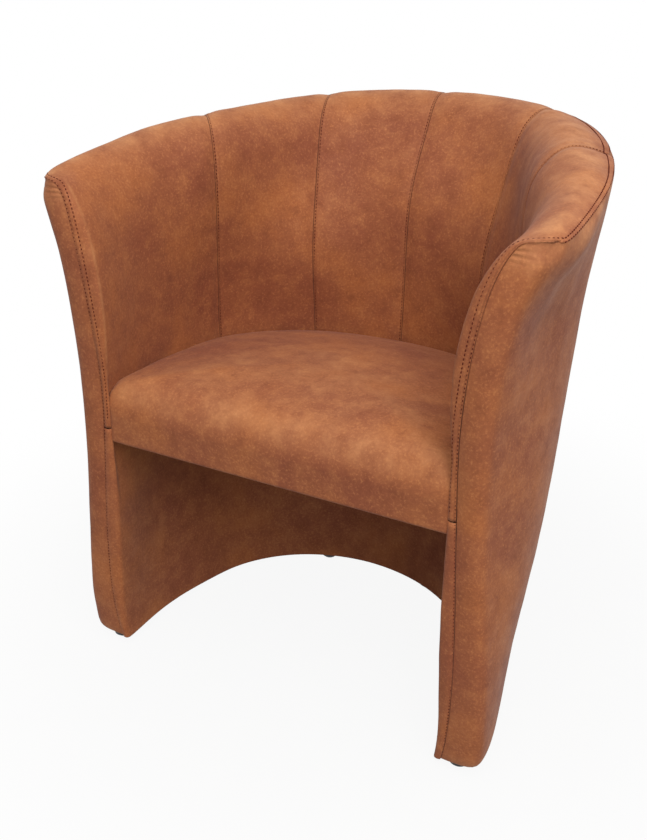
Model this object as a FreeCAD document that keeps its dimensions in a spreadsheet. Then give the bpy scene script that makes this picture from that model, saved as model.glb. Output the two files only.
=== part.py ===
import FreeCAD, Part
import math
import os
import PartDesign
import Sketcher

# Cocktail chair: a tub shell on a U plan with a tight, crowned seat between the arms.
# Units are mm. X is across, the front faces -Y, Z is up and the floor is z = 0.
# The origin is on the floor in the middle of the chair.

V = FreeCAD.Vector
os.makedirs("parts", exist_ok=True)
doc = FreeCAD.newDocument("cocktail_chair")

# Driving sizes

sheet = doc.addObject("Spreadsheet::Sheet", "Sizes")
SIZES = [
    ("inside_width", 515, "clear width between the arms at the floor"),
    ("rear_height", 757, "floor to the top of the backrest"),
    ("front_line", -298.3, "front of the arms, measured from the origin"),
    ("cover", 1.5, "thickness of the covering"),
    ("layer_gap", 0.5, "play between one layer and the next"),
    ("pad", 7.5, "foam pad on the inside of the shell"),
    ("board", 4, "bent plywood board of the inside"),
    ("wadding", 3, "wadding under the outside cover"),
    ("outer_sheet", 3, "fibreboard of the outside"),
    ("rail_thick", 18, "plywood of the curved rails"),
    ("plate_front", 16, "front line to the front of the arm plates"),
    ("plate_thick", 22, "thickness of the plates in the arm fronts"),
    ("wood_play", 0.3, "play between two wooden pieces"),
    ("bottom_gap", 14, "floor to the bottom edge of the cover"),
    ("crest_drop", 42, "crest of the rim to the top rail below it"),
    ("bevel", 7, "slant of the outer edge of the base rail"),
    ("seam_dip", 3, "how far a seam is drawn into the padding"),
    ("stud_width", 22, "width of the upright studs"),
    ("stud_play", 0.6, "extra play of the bent frame beside the boards"),
    ("seat_underside", 346, "floor to the underside of the seat"),
    ("seat_thick", 52, "underside of the seat to where its top meets the back"),
    ("seat_rise", 26, "how much higher the seat meets the arms in front"),
    ("seat_crown", 29, "rise of the middle of the seat above its edge"),
    ("seat_front", 6, "front line to the front of the seat"),
    ("front_roll", 40, "radius of the front edge of the seat"),
    ("edge_curl", 6, "how far the seat cover curls down at the walls"),
    ("seat_play", 0.6, "play between the seat and the walls"),
    ("front_play", 5, "gap beside the front corners of the seat"),
    ("ring_thick", 17, "plywood of the two seat rings"),
    ("ring_width", 45, "width of the seat rings"),
    ("ring_inset", 3, "seat outline to the outer edge of the rings"),
    ("hem", 25, "width of the cover stapled under the seat"),
    ("dust_inset", 12, "seat outline to the edge of the dust cloth"),
    ("dust_thick", 0.6, "thickness of the dust cloth"),
    ("strap_width", 50, "width of a webbing strap"),
    ("strap_thick", 2, "thickness of a webbing strap"),
    ("strap_pitch", 80, "spacing of the webbing straps, in a chair of the drawn width"),
    ("glide_size", 28, "diameter of a glide"),
    ("glide_slant", 4, "slant of the lower edge of a glide"),
    ("front_glide_x", 275, "middle of the chair to a front glide, in a chair of the drawn width"),
    ("front_glide_y", 21, "front line to a front glide, in a chair of the drawn width"),
    ("rear_glide_x", 92, "middle of the chair to a rear glide, in a chair of the drawn width"),
    ("rear_glide_y", 357, "front line to a rear glide, in a chair of the drawn width"),
    ("glide_nail", 4, "diameter of the nail of a glide"),
    ("nail_length", 16, "length of the nail above the glide"),
    ("seat_bolt", 6, "shank diameter of the seat bolts"),
    ("bolt_head", 11, "head diameter of the seat bolts"),
    ("bolt_cap", 4, "height of the head of a seat bolt"),
    ("bolt_bite", 13, "how far a seat bolt enters the frame"),
    ("hole_play", 0.15, "play round a bolt or nail"),
]
for row, (name, value, note) in enumerate(SIZES, start=1):
    sheet.set("A%d" % row, name)
    sheet.set("B%d" % row, str(value))
    sheet.set("C%d" % row, note)
    sheet.setAlias("B%d" % row, name)
doc.recompute()


def size(name):
    return float(sheet.get(name))


across = size("inside_width") / 515.0
front_line = size("front_line")
cover = size("cover")
gap = size("layer_gap")
bottom = size("bottom_gap")

# The shell is described at six upright stations, from the front of an arm to the middle of
# the back. Each station starts on the bottom edge of the inside face and looks outward at
# its own angle. The chair is symmetric, so the other half is the mirror of this one.

STATIONS = [(257.5, 0, 0), (247, 88, 9), (225, 176, 24), (202, 236, 45), (117, 319, 73.4), (0, 348.7, 90)]
PLACE = [0, 0.17, 0.355, 0.504, 0.76, 1]
RISE = [0, 0.2, 0.48, 0.66, 0.87, 1]

# One row per level line of the shell: height at the arm front, height at the middle of the
# back, distance of the arm corner from the front line, and the distance outward from each
# station. The inside rows run up from the bottom edge over the crest to the rim seam, the
# outside rows run from the rim seam down to the bottom edge.

INSIDE = [
    ("bottom edge", 0, 14, 14, 8, (0, 0, 0, 0, 0, 0)),
    ("under the seat", 176, 190, 190, 8, (8, 11, 23, 31, 36, 34.5)),
    ("seat", 400, 428, 400, 14, (-7, 9.5, 37, 60, 74, 69)),
    ("waist", 530, 540, 540, 14, (-2, 9, 28.5, 44.5, 63, 75)),
    ("shoulder", 648, 655, 655, 22, (20, 22, 27.5, 29.5, 99, 101)),
    ("neck", 700, 686, 712, 28, (36, 38, 41, 39.5, 122, 138)),
    ("brow", 728, 693, 738, 32, (44, 48, 54, 55, 141, 156)),
    ("crest", 760, 697, 755.5, 34, (55, 63, 76, 79, 175, 182)),
    ("cap", 796, 696, 753, 35, (66, 78, 97, 111, 211, 218)),
    ("rim seam", 830, 689, 741, 36, (75, 91, 115, 143, 244, 249)),
]
OUTSIDE = [
    ("rim seam", 0, 689, 741, 36, (75, 91, 115, 143, 244, 249)),
    ("rim roll", 22, 670, 722, 34, (70, 95, 114, 143, 246, 250)),
    ("shoulder", 62, 640, 640, 26, (56, 76, 107, 130, 196, 204)),
    ("waist", 235, 470, 470, 16, (30.5, 60, 94, 112, 134, 136)),
    ("under the seat", 515, 190, 190, 12, (46, 64, 76, 88, 94, 92)),
    ("above the toe", 672, 34, 34, 10, (51, 54, 56, 59, 56, 54)),
    ("toe", 687, 20, 20, 12, (47.5, 50.5, 52.5, 55, 52.5, 50.5)),
    ("fold", 697, 14.6, 14.6, 15, (39, 42, 44, 46, 44, 42)),
    ("under", 705, 14, 14, 18, (31, 34, 36, 38, 36, 34)),
    ("hem", 714, 14, 14, 21, (22, 25, 27, 29, 27, 25)),
]

# The seam that runs down the inner front edge of an arm: place, distance from the front
# line and height for every level row, and how far forward the front face of the arm stands.

INSIDE_SEAM = [(257.5, 0, 14), (265.5, -2, 190), (250.5, 6, 428), (255.5, 2, 540), (276, 8, 655),
               (291, 13, 684), (299, 12, 690), (309, 13, 691.5), (320, 20, 690.5), (329, 29, 688)]
OUTSIDE_SEAM = [(294, 12.5, 687), (287, 11, 671), (272, 6.5, 640), (251.5, 4, 470), (265.5, -2, 190),
                (260, -2, 34), (258.5, -1, 20), (258.5, 2, 14.6), (260, 8, 14), (262, 14, 14)]
FACE_FRONT = [11, 8.5, 4.5, 0, -3.5, -4, -2.5, 2, 9, 16]
SEAM_PLACE = -0.06
NOSE_PLACE = (-0.115, -0.075, -0.03)


def shell_point(x, y, z):
    """A point of the shell: x from the middle, y from the front line, z from the floor."""
    return V(x * across, y * across + front_line, bottom + (z - 14) * (rear_top - bottom) / 743.0)


rear_top = size("rear_height")


def mirrored(points):
    return [V(-p.x, p.y, p.z) for p in reversed(points)]


def level_line(row, lead, lead_places):
    """Curve of one level of the shell from the front of one arm to the front of the other."""
    name, along, z_front, z_back, corner, reach = row
    points = list(lead)
    places = list(lead_places)
    for (x, y, angle), place, rise, out in zip(STATIONS, PLACE, RISE, reach):
        y_here = corner if place == 0 else y
        away = math.radians(angle)
        z = z_front + (z_back - z_front) * rise
        points.append(shell_point(x + out * math.cos(away), y_here + out * math.sin(away), z))
        places.append(place)
    points += mirrored(points)[1:]
    places += [2 - p for p in reversed(places)][1:]
    curve = Part.BSplineCurve()
    curve.interpolate(Points=points, Parameters=places)
    return curve


def inside_lines():
    lines = []
    for row, seam in zip(INSIDE, INSIDE_SEAM):
        lines.append(level_line(row, [shell_point(*seam)], [SEAM_PLACE]))
    return lines


def outside_lines():
    """Outside level lines: they go round the nose of each arm to its inner front seam."""
    lines = []
    for row, seam, face in zip(OUTSIDE, OUTSIDE_SEAM, FACE_FRONT):
        z = seam[2]
        corner_x = STATIONS[0][0] + row[5][0]
        corner_y = row[4]
        round_off = corner_y - face
        middle = ((seam[0] + corner_x - 0.4 * round_off) / 2, face, (z + row[2]) / 2)
        turn = (corner_x - 0.29 * round_off, face + 0.29 * round_off, row[2])
        lead = [shell_point(*seam), shell_point(*middle), shell_point(*turn)]
        lines.append(level_line(row, lead, NOSE_PLACE))
    return lines


# The faces are drawn in flat facets between these upright sections and rows. Every layer of
# the shell follows the same facets, so that one lies on the next.

OUTER_SEAM = 0.504
QUARTER_SEAM = 0.76
MIDDLE = 1.0
ARM_PART = [0.1, 0.17, 0.26, 0.355, 0.43, 0.485]
CORNER_PART = [0.523, 0.59, 0.67, 0.741]
CENTRE_PART = [0.779, 0.845, 0.915, 0.981]
WHOLE_HALF = ARM_PART + [OUTER_SEAM] + CORNER_PART + [QUARTER_SEAM] + CENTRE_PART + [MIDDLE]
COVER_PART = ARM_PART[:5] + [OUTER_SEAM, 0.59, 0.67, QUARTER_SEAM, 0.845, 0.915, MIDDLE]
INSIDE_PLACES = [SEAM_PLACE, -0.02, 0.03] + WHOLE_HALF
OUTSIDE_PLACES = [NOSE_PLACE[0], -0.095, -0.075, -0.05, -0.03, 0, 0.03] + COVER_PART
INSIDE_ROWS = [0, 90, 200, 280, 365, 430, 530, 590, 648, 690, 722, 745, 765, 785, 808, 830]
OUTSIDE_ROWS = [0, 14, 34, 62, 120, 235, 375, 515, 610, 672, 689, 699, 714]


def cell(steps, value):
    """Index of the step below a value and the share of the way to the next one."""
    k = 0
    while k < len(steps) - 2 and value > steps[k + 1]:
        k += 1
    return k, (value - steps[k]) / (steps[k + 1] - steps[k])


class Face:
    """One side of the shell: any point at a place along the plan and up the profile."""

    def __init__(self, table, lines, places, rows):
        self.along = [row[1] for row in table]
        self.lines = lines
        self.places = places
        self.rows = rows
        self.curves = {}
        self.corners = {}

    def profile(self, place):
        if place not in self.curves:
            curve = Part.BSplineCurve()
            points = [line.value(place) for line in self.lines]
            curve.interpolate(Points=points, Parameters=self.along)
            self.curves[place] = curve
        return self.curves[place]

    def corner(self, k, row, depth):
        """Corner of the facets, moved square to the face to a depth below it."""
        key = (k, row, round(depth, 4))
        if key not in self.corners:
            place = self.places[k]
            along = self.rows[row]
            here = self.profile(place).value(along)
            before = max(self.lines[0].FirstParameter, place - 0.004)
            sideways = self.profile(place + 0.004).value(along) - self.profile(before).value(along)
            low = max(self.along[0], along - 2)
            high = min(self.along[-1], along + 2)
            climb = self.profile(place).value(high) - self.profile(place).value(low)
            normal = sideways.cross(climb)
            normal.normalize()
            self.corners[key] = here + normal * depth
        return self.corners[key]

    def point(self, place, along, depth=0.0):
        """Point on the facets, or on a layer at a depth below them."""
        k, share = cell(self.places, place)
        row, rise = cell(self.rows, along)
        first = self.corner(k, row, depth)
        last = self.corner(k + 1, row + 1, depth)
        if share >= rise:
            turn = self.corner(k + 1, row, depth)
            return first + (turn - first) * share + (last - turn) * rise
        turn = self.corner(k, row + 1, depth)
        return first + (turn - first) * rise + (last - turn) * share

    def along_at(self, place, z, depth=0.0):
        """Profile position where a layer reaches a height, below the crest of the rim."""
        last = 0
        for row in self.rows[:11]:
            here = self.point(place, row, depth).z
            if row > self.rows[0] and (before - z) * (here - z) <= 0:
                return last + (row - last) * (z - before) / (here - before)
            before = here
            last = row
        return last

    def at_height(self, place, z, depth=0.0):
        return self.point(place, self.along_at(place, z, depth), depth)

    def place_at(self, along, y, depth):
        """Place near the arm front where a row stands at a distance from the front line."""
        low, high = self.places[0], 0.26
        for step in range(16):
            middle = (low + high) / 2
            if self.point(middle, along, depth).y < y + front_line:
                low = middle
            else:
                high = middle
        return (low + high) / 2


def between(low, rows, high):
    """Rows from one to another; a row beyond an end is drawn in to lie just inside it."""
    kept = []
    for k, row in enumerate(rows):
        nearest = low + 1.5 * (k + 1)
        furthest = high - 1.5 * (len(rows) - k)
        kept.append(min(furthest, max(nearest, row)))
    return [low] + kept + [high]


inside = Face(INSIDE, inside_lines(), INSIDE_PLACES, INSIDE_ROWS)
outside = Face(OUTSIDE, outside_lines(), OUTSIDE_PLACES, OUTSIDE_ROWS)


# Tools for the pieces that follow the shell. Each piece is lofted in flat facets between
# upright sections, and between two sections a face that isn't flat is folded once.

def facets(a, b, c, d, swap):
    """Faces between four corners given in order round the face."""
    corners = [a, b, c, d]
    if a.distanceToPlane(b, (c - b).cross(d - b)) ** 2 < 1e-12:
        return [Part.Face(Part.makePolygon(corners + [a]))]
    if swap:
        corners = [b, c, d, a]
    first = Part.makePolygon([corners[0], corners[1], corners[2], corners[0]])
    second = Part.makePolygon([corners[0], corners[2], corners[3], corners[0]])
    return [Part.Face(first), Part.Face(second)]


def closed_solid(faces):
    sewn = Part.makeCompound(faces)
    sewn.sewShape()
    solid = Part.makeSolid(sewn.Shells[0])
    if solid.Volume < 0:
        solid.reverse()
    return solid


def loft(sections, fold_back):
    """Solid through closed sections of equally many corners: one face of the wall, then the
    other. The second face is folded the other way round if it lies on the same side."""
    faces = []
    count = len(sections[0])
    for near, far in zip(sections, sections[1:]):
        left = near[0].x + far[0].x < 0
        for k in range(count):
            n = (k + 1) % count
            swap = left != (fold_back and k >= count // 2)
            faces += facets(near[k], far[k], far[n], near[n], swap)
    for section in (sections[0], sections[-1]):
        for k in range(count // 2 - 1):
            faces += facets(section[k], section[k + 1], section[-2 - k], section[-1 - k], False)
    return closed_solid(faces)


def blanket(front, back):
    """Layer between two grids of points on one face, one list of points for each place."""
    return loft([rising + falling[::-1] for rising, falling in zip(front, back)], True)


def bar(inner, outer):
    """Solid between a grid on the inside and one on the outside, both from low to high."""
    return loft([rising + falling[::-1] for rising, falling in zip(inner, outer)], False)


def both_halves(columns):
    """Columns of a half, from an arm to the middle of the back, and their mirror images."""
    return columns + [[V(-p.x, p.y, p.z) for p in column] for column in reversed(columns[:-1])]


def mirror_of(shape):
    return shape.mirror(V(0, 0, 0), V(1, 0, 0))


PIECES = {}


def piece(name, shape):
    PIECES[name] = shape
    return shape


def pair(name, shape):
    piece(name + "_right", shape)
    piece(name + "_left", mirror_of(shape))


# How deep each layer lies below the finished faces

seat_bottom = size("seat_underside")
crest_drop = size("crest_drop")
play = size("wood_play")
rail = size("rail_thick")
foam_face = cover + gap
foam_back = foam_face + size("pad")
board_face = foam_back + gap
board_back = board_face + size("board")
frame_inner = board_back + play
low_board_back = foam_face + size("board")
low_frame_inner = low_board_back + play
wadding_back = foam_face + size("wadding")
sheet_face = wadding_back + gap
sheet_back = sheet_face + size("outer_sheet")
frame_outer = sheet_back + play
stud_inner = frame_inner + size("stud_play")
stud_outer = frame_outer + size("stud_play")
plate_low_inner = low_frame_inner + size("stud_play")
frame_foot = bottom + 2
split = seat_bottom + 2
tuck = seat_bottom + 16

SEAM_PLAY = 0.0006
SEAMS = [OUTER_SEAM, QUARTER_SEAM, MIDDLE, 2 - QUARTER_SEAM, 2 - OUTER_SEAM]
plate_front = size("plate_front")
plate_rear = plate_front + size("plate_thick")
rail_start = plate_rear + play
PLATE_STEPS = [plate_front, plate_front + size("plate_thick") / 3, plate_rear]
crest_row = INSIDE[7][1]
rim_row = INSIDE[-1][1]


def seam_dip(place):
    """Extra depth beside the seams of the inside, where the cover is sewn into the pad."""
    nearest = min(abs(place - seam) for seam in SEAMS)
    return size("seam_dip") * math.exp(-(nearest / 0.016) ** 2)


def crest(place):
    return inside.point(place, crest_row).z


def pad_column(place, z_low, last, depth, dip):
    """One section of a padded inside layer, from a height up over the crest."""
    deep = depth + (seam_dip(place) if dip else 0.0)
    rows = between(inside.along_at(place, z_low), INSIDE_ROWS[4:15], last)
    return [inside.point(place, along, deep) for along in rows]


def pad_layer(places, z_low, last, face_depth, back_depth, dip_back):
    face = [pad_column(p, z_low, last, face_depth, True) for p in places]
    back = [pad_column(p, z_low, last, back_depth, dip_back) for p in places]
    return blanket(face, back)


# Inside cover: two arm panels and four back panels, sewn to each other at five upright
# seams and folded over the crest to the seam that runs along the outer edge of the rim

sewn_row = rim_row - 3.5


def panel(first, between, last):
    places = [first] + between + [last]
    return pad_layer(places, tuck, sewn_row, 0.0, cover, True)


arm_front = SEAM_PLACE + 0.024
pair("arm_panel", panel(arm_front, [-0.02, 0.03] + ARM_PART, OUTER_SEAM - SEAM_PLAY))
pair("back_panel_outer", panel(OUTER_SEAM + SEAM_PLAY, CORNER_PART, QUARTER_SEAM - SEAM_PLAY))
pair("back_panel_centre", panel(QUARTER_SEAM + SEAM_PLAY, CENTRE_PART, MIDDLE - SEAM_PLAY))

# Outside cover: one length of the same material from the inner front seam of one arm, round
# the nose and the back to the other arm. It starts at the rim seam and is folded under the
# bottom edge.

COVER_ROWS = [0.5] + OUTSIDE_ROWS[1:-1] + [OUTSIDE_ROWS[-1] - 1]


def outside_columns(places, rows, depth):
    return [[outside.point(place, along, depth) for along in rows] for place in places]


outer_cover = blanket(both_halves(outside_columns(OUTSIDE_PLACES, COVER_ROWS, 0.0)),
                      both_halves(outside_columns(OUTSIDE_PLACES, COVER_ROWS, cover)))
piece("outer_cover", outer_cover)

# Lining: the same material on the inner face below the seat, open to view from the front

LOW_ROWS = INSIDE_ROWS[1:4]


def low_column(place, depth, top):
    foot = inside.along_at(place, frame_foot + 0.2, depth)
    rows = between(foot, LOW_ROWS, inside.along_at(place, top, depth))
    return [inside.point(place, along, depth) for along in rows]


lining_half = [arm_front, -0.02, 0.03] + WHOLE_HALF
lining_top = seat_bottom + 4
piece("underseat_lining", blanket(both_halves([low_column(p, 0.0, lining_top) for p in lining_half]),
                                  both_halves([low_column(p, cover, lining_top) for p in lining_half])))

# Foam on the inside of the arms and the back, the pads in the arm fronts and the thin
# wadding under the outside cover

pad_foot = tuck
arm_pad_places = [0.0, 0.03] + ARM_PART + [OUTER_SEAM - SEAM_PLAY]
arm_foam = pad_layer(arm_pad_places, pad_foot, rim_row - 8, foam_face, foam_back, False)
pair("arm_foam", arm_foam)

back_half = [OUTER_SEAM + SEAM_PLAY] + CORNER_PART + [QUARTER_SEAM] + CENTRE_PART + [MIDDLE]
back_foam = blanket(both_halves([pad_column(p, pad_foot, rim_row - 8, foam_face, True) for p in back_half]),
                    both_halves([pad_column(p, pad_foot, rim_row - 8, foam_back, False) for p in back_half]))
piece("back_foam", back_foam)

NOSE_ROWS = [62, 120, 235, 375, 515, 610, 655]
nose_face = outside_columns([-0.088, -0.075, -0.05, -0.03], NOSE_ROWS, foam_face)
nose_back = [[V(p.x, front_line + plate_front - play, p.z) for p in column] for column in nose_face]
pair("arm_nose_foam", blanket(nose_face, nose_back))

# Boards and rails of the shell. Every rail is bent round the whole plan and starts behind
# the plate in the front of each arm.

class Section:
    """Upright section of the frame, at a place or at a distance from the front line."""

    def __init__(self, place=None, y=None):
        self.y = y
        self.near = place if y is None else inside.place_at(648, y, frame_inner)

    def place(self, face, along, depth):
        return self.near if self.y is None else face.place_at(along, self.y, depth)

    def point(self, face, along, depth):
        return face.point(self.place(face, along, depth), along, depth)

    def along(self, face, z, depth):
        along = face.along_at(self.near, z, depth)
        if self.y is not None:
            for settle in range(2):
                along = face.along_at(face.place_at(along, self.y, depth), z, depth)
        return along

    def level(self, face, z, depth):
        point = self.point(face, self.along(face, z, depth), depth)
        return V(point.x, point.y, z)

    def crest(self):
        return crest(self.near)

    def column(self, face, low, rows, high, depth):
        return [self.point(face, along, depth) for along in between(low, rows, high)]


def frame_sections(ys, places=WHOLE_HALF):
    return [Section(y=y) for y in ys] + [Section(place=p) for p in places]


def low_board_column(section, depth):
    foot = section.along(inside, frame_foot + 0.2, depth)
    top = section.along(inside, seat_bottom + 1, depth)
    return section.column(inside, foot, LOW_ROWS, top, depth)


def upper_board_column(section, depth):
    foot = section.along(inside, tuck, depth)
    top = section.along(inside, section.crest() - crest_drop - 0.6, depth)
    return section.column(inside, foot, INSIDE_ROWS[4:10], top, depth)


def sheet_column(section, depth):
    top = section.along(outside, section.crest() - crest_drop - 3, depth)
    foot = section.along(outside, frame_foot + rail + play, depth)
    return section.column(outside, top, OUTSIDE_ROWS[2:9], foot, depth)


def wadding_column(section, depth):
    return section.column(outside, 22, OUTSIDE_ROWS[2:9], OUTSIDE_ROWS[9], depth)


board_sections = frame_sections([], [0.03] + WHOLE_HALF)
sheet_sections = frame_sections([], [0.03] + COVER_PART)
piece("inner_lower_board", blanket(both_halves([low_board_column(s, foam_face) for s in board_sections]),
                                   both_halves([low_board_column(s, low_board_back) for s in board_sections])))
piece("inner_upper_board", blanket(both_halves([upper_board_column(s, board_face) for s in board_sections]),
                                   both_halves([upper_board_column(s, board_back) for s in board_sections])))
piece("outer_sheet", blanket(both_halves([sheet_column(s, sheet_face) for s in sheet_sections]),
                             both_halves([sheet_column(s, sheet_back) for s in sheet_sections])))
piece("outer_wadding", blanket(both_halves([wadding_column(s, foam_face) for s in sheet_sections]),
                               both_halves([wadding_column(s, wadding_back) for s in sheet_sections])))


def level_rail(z_low, z_top, inner_depth, slant):
    """Bent rail between two levels, with a slant on the lower part of its outer edge."""
    inner = []
    outer = []
    for section in frame_sections([rail_start]):
        inner.append([section.level(inside, z, inner_depth) for z in (z_low, z_top)])
        high = section.level(outside, z_top, stud_outer)
        low = section.level(outside, z_top if slant else z_low, stud_outer + slant)
        outer.append([V(low.x, low.y, z_low), high])
    return bar(both_halves(inner), both_halves(outer))


base_rail = level_rail(frame_foot, frame_foot + rail, low_frame_inner, size("bevel"))
seat_level_rail = level_rail(split - rail, split, stud_inner, 0)


def rim_column(face, section, depth, drops):
    return [section.level(face, section.crest() - drop, depth) for drop in drops]


rail_drops = (crest_drop + rail, crest_drop + play + size("stud_play"))
rim_sections = frame_sections([], [0.06] + WHOLE_HALF)
top_rail = bar(both_halves([rim_column(inside, s, stud_inner, rail_drops) for s in rim_sections]),
               both_halves([rim_column(outside, s, stud_outer, rail_drops) for s in rim_sections]))


def roll_columns(place):
    """Section of the roll of foam that rounds the rim above the top rail."""
    z = crest(place) - crest_drop
    low = inside.along_at(place, z, board_face)
    start = outside.along_at(place, z, sheet_face)
    rising = between(low, INSIDE_ROWS[8:15], rim_row - 14)
    falling = [16 + (start - 16) * k / 8 for k in range(9)]
    return ([inside.point(place, along, board_face) for along in rising],
            [outside.point(place, along, sheet_face) for along in falling[::-1]])


roll = [roll_columns(p) for p in [0.0, 0.03] + WHOLE_HALF]
piece("rim_roll_foam", bar(both_halves([r[0] for r in roll]), both_halves([r[1] for r in roll])))


# Plates in the arm fronts and the studs between the rails

def plate_sections():
    sections = []
    for y in PLATE_STEPS:
        section = Section(y=y)
        top = crest(0) - crest_drop - 1
        foot_in = section.along(inside, frame_foot, plate_low_inner)
        break_in = section.along(inside, seat_bottom + 1, plate_low_inner)
        lower = section.column(inside, foot_in, LOW_ROWS, break_in, plate_low_inner)
        break_up = section.along(inside, split, stud_inner)
        top_in = section.along(inside, top, stud_inner)
        upper = section.column(inside, break_up, INSIDE_ROWS[4:8], top_in, stud_inner)
        top_out = section.along(outside, top, stud_outer)
        foot_out = section.along(outside, frame_foot + rail, stud_outer)
        outer = section.column(outside, top_out, OUTSIDE_ROWS[3:9], foot_out, stud_outer)
        foot = outer[-1]
        slanted = V(foot.x - size("bevel"), foot.y, frame_foot)
        spare = [foot * (1 - k / 3) + slanted * (k / 3) for k in (1, 2)]
        sections.append(lower + upper + outer + spare + [slanted])
    return sections


arm_plate = loft(plate_sections(), False)
BACK_STUD = QUARTER_SEAM
SIDE_STUD = 0.30


UPPER_STUD = (INSIDE_ROWS[4:10], [62, 120, 150, 190, 235, 290])
LOWER_STUD = (LOW_ROWS, [375, 515, 610])


def stud_block(place, z_low, z_top, rows):
    """Stud between two rails, square to the wall; a top below zero is taken from the crest."""
    run = (inside.point(place + 0.01, 300) - inside.point(place - 0.01, 300)).Length / 0.02
    half = size("stud_width") / 2 / run
    sides = []
    for face, depth, steps in ((inside, stud_inner, rows[0]), (outside, stud_outer, rows[1])):
        side = []
        for near in (place - half, place, place + half):
            section = Section(place=near)
            top = z_top if z_top > 0 else section.crest() + z_top
            ends = [section.along(face, z_low, depth), section.along(face, top, depth)]
            column = section.column(face, min(ends), steps, max(ends), depth)
            if face is outside:
                column.reverse()
            column[0].z = z_low
            column[-1].z = top
            side.append(column)
        sides.append(side)
    return bar(*sides)


rail_top = frame_foot + rail
below_top_rail = -(crest_drop + rail + play)
pair("lower_stud_side", stud_block(SIDE_STUD, rail_top, split - rail, LOWER_STUD))
pair("lower_stud_back", stud_block(BACK_STUD, rail_top, split - rail, LOWER_STUD))
pair("upper_stud_side", stud_block(SIDE_STUD, split, below_top_rail, UPPER_STUD))
back_stud = stud_block(BACK_STUD, split, below_top_rail, UPPER_STUD)

# Seat: a D-shaped cushion on two plywood rings with webbing, tight between the walls

seat_front = size("seat_front")
seat_middle = V(0, front_line + 190 * across, 0)
SEAT_PLACES = [0.06, 0.1, 0.17, 0.26, 0.355, 0.43, OUTER_SEAM, 0.63, QUARTER_SEAM, 0.88, MIDDLE]
SHARES = [1, 0.98, 0.94, 0.87, 0.74, 0.45]


def wall_play(y):
    """The seat stands off the arms at its front corners and fits tight further back."""
    near_front = max(0.0, (60 - y) / 54.0)
    return size("seat_play") + (size("front_play") - size("seat_play")) * near_front ** 2


def seat_outline(z, inset, places=SEAT_PLACES):
    """Outline of the seat at a height, drawn in by an inset."""
    corner = inside.at_height(0.0, z, -size("front_play"))
    radius = 12.0
    turn = V(corner.x - radius, front_line + seat_front + radius, z)
    reach = radius - min(inset, radius - 3)
    side = inset - (radius - reach)
    half = []
    for share in (0, 0.35, 0.7):
        half.append(V((turn.x - side) * share, turn.y - side * -1 - reach, z))
    for angle in (-90, -60, -30, 0):
        away = math.radians(angle)
        half.append(V(turn.x - side + reach * math.cos(away), turn.y + side + reach * math.sin(away), z))
    for place in places:
        here = inside.at_height(place, z, 0.0)
        depth = wall_play(here.y - front_line) + inset
        point = inside.at_height(place, z, -depth)
        half.append(V(point.x, point.y, z))
    return half + [V(-p.x, p.y, p.z) for p in reversed(half[1:-1])]


def seat_height(point, share):
    y = point.y - front_line
    edge = seat_bottom + size("seat_thick") + size("seat_rise") * (406 * across - y) / (336 * across)
    dome = size("seat_crown") * (1 - share ** 2.4)
    from_front = y - seat_front
    roll_radius = size("front_roll")
    reach = max(0.0, roll_radius - from_front)
    front = roll_radius - math.sqrt(max(0.0, roll_radius ** 2 - reach ** 2))
    curl = 0.0
    if share > 0.93:
        curl = size("edge_curl") * ((share - 0.93) / 0.07) ** 2 * min(1.0, max(0.0, from_front / 30))
    return edge + dome - front - curl


def seat_surface(base, inset, lowered):
    """Rings of points from the edge of the seat to its middle."""
    outline = seat_outline(base, inset)
    finished = seat_outline(base, 0.0)
    rings = []
    for share in SHARES:
        ring = []
        for point, shown in zip(outline, finished):
            place = seat_middle + (V(point.x, point.y, 0) - seat_middle) * share
            top = seat_middle + (V(shown.x, shown.y, 0) - seat_middle) * share
            ring.append(V(place.x, place.y, seat_height(top, share) - lowered))
        rings.append(ring)
    peak = V(seat_middle.x, seat_middle.y, seat_height(seat_middle, 0) - lowered)
    return rings, peak


def ring_faces(rings):
    faces = []
    for low, high in zip(rings, rings[1:]):
        count = len(low)
        for k in range(count):
            n = (k + 1) % count
            faces += facets(low[k], low[n], high[n], high[k], low[k].x < 0)
    return faces


def fan(ring, peak):
    faces = []
    for k, point in enumerate(ring):
        faces.append(Part.Face(Part.makePolygon([point, ring[(k + 1) % len(ring)], peak, point])))
    return faces


side_levels_out = [seat_bottom, seat_bottom + 19, seat_bottom + 39]
side_levels_in = [seat_bottom + cover, seat_bottom + 19, seat_bottom + 39]
outer_rings, outer_peak = seat_surface(seat_bottom + 50, 0.0, 0.0)
inner_rings, inner_peak = seat_surface(seat_bottom + 50, cover, cover)
hem_outer = seat_outline(seat_bottom, size("hem"))
hem_inner = [V(p.x, p.y, seat_bottom + cover) for p in hem_outer]
outer_skin = [hem_outer] + [seat_outline(z, 0.0) for z in side_levels_out] + outer_rings
inner_skin = [hem_inner] + [seat_outline(z, cover) for z in side_levels_in] + inner_rings
skin_faces = ring_faces(outer_skin) + ring_faces(inner_skin) + ring_faces([hem_inner, hem_outer])
seat_cover = closed_solid(skin_faces + fan(outer_rings[-1], outer_peak) + fan(inner_rings[-1], inner_peak))

ring_thick = size("ring_thick")
ring_foot = seat_bottom + cover + play
rings_top = ring_foot + 2 * ring_thick
foam_foot = rings_top + size("strap_thick") + 0.2
foam_rings, foam_peak = seat_surface(seat_bottom + 50, foam_face, foam_face)
foam_base = seat_outline(foam_foot, foam_face)
base_face = Part.Face(Part.makePolygon(foam_base + [foam_base[0]]))
foam_faces = ring_faces([foam_base] + foam_rings) + fan(foam_rings[-1], foam_peak) + [base_face]
piece("seat_foam", closed_solid(foam_faces))


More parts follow.
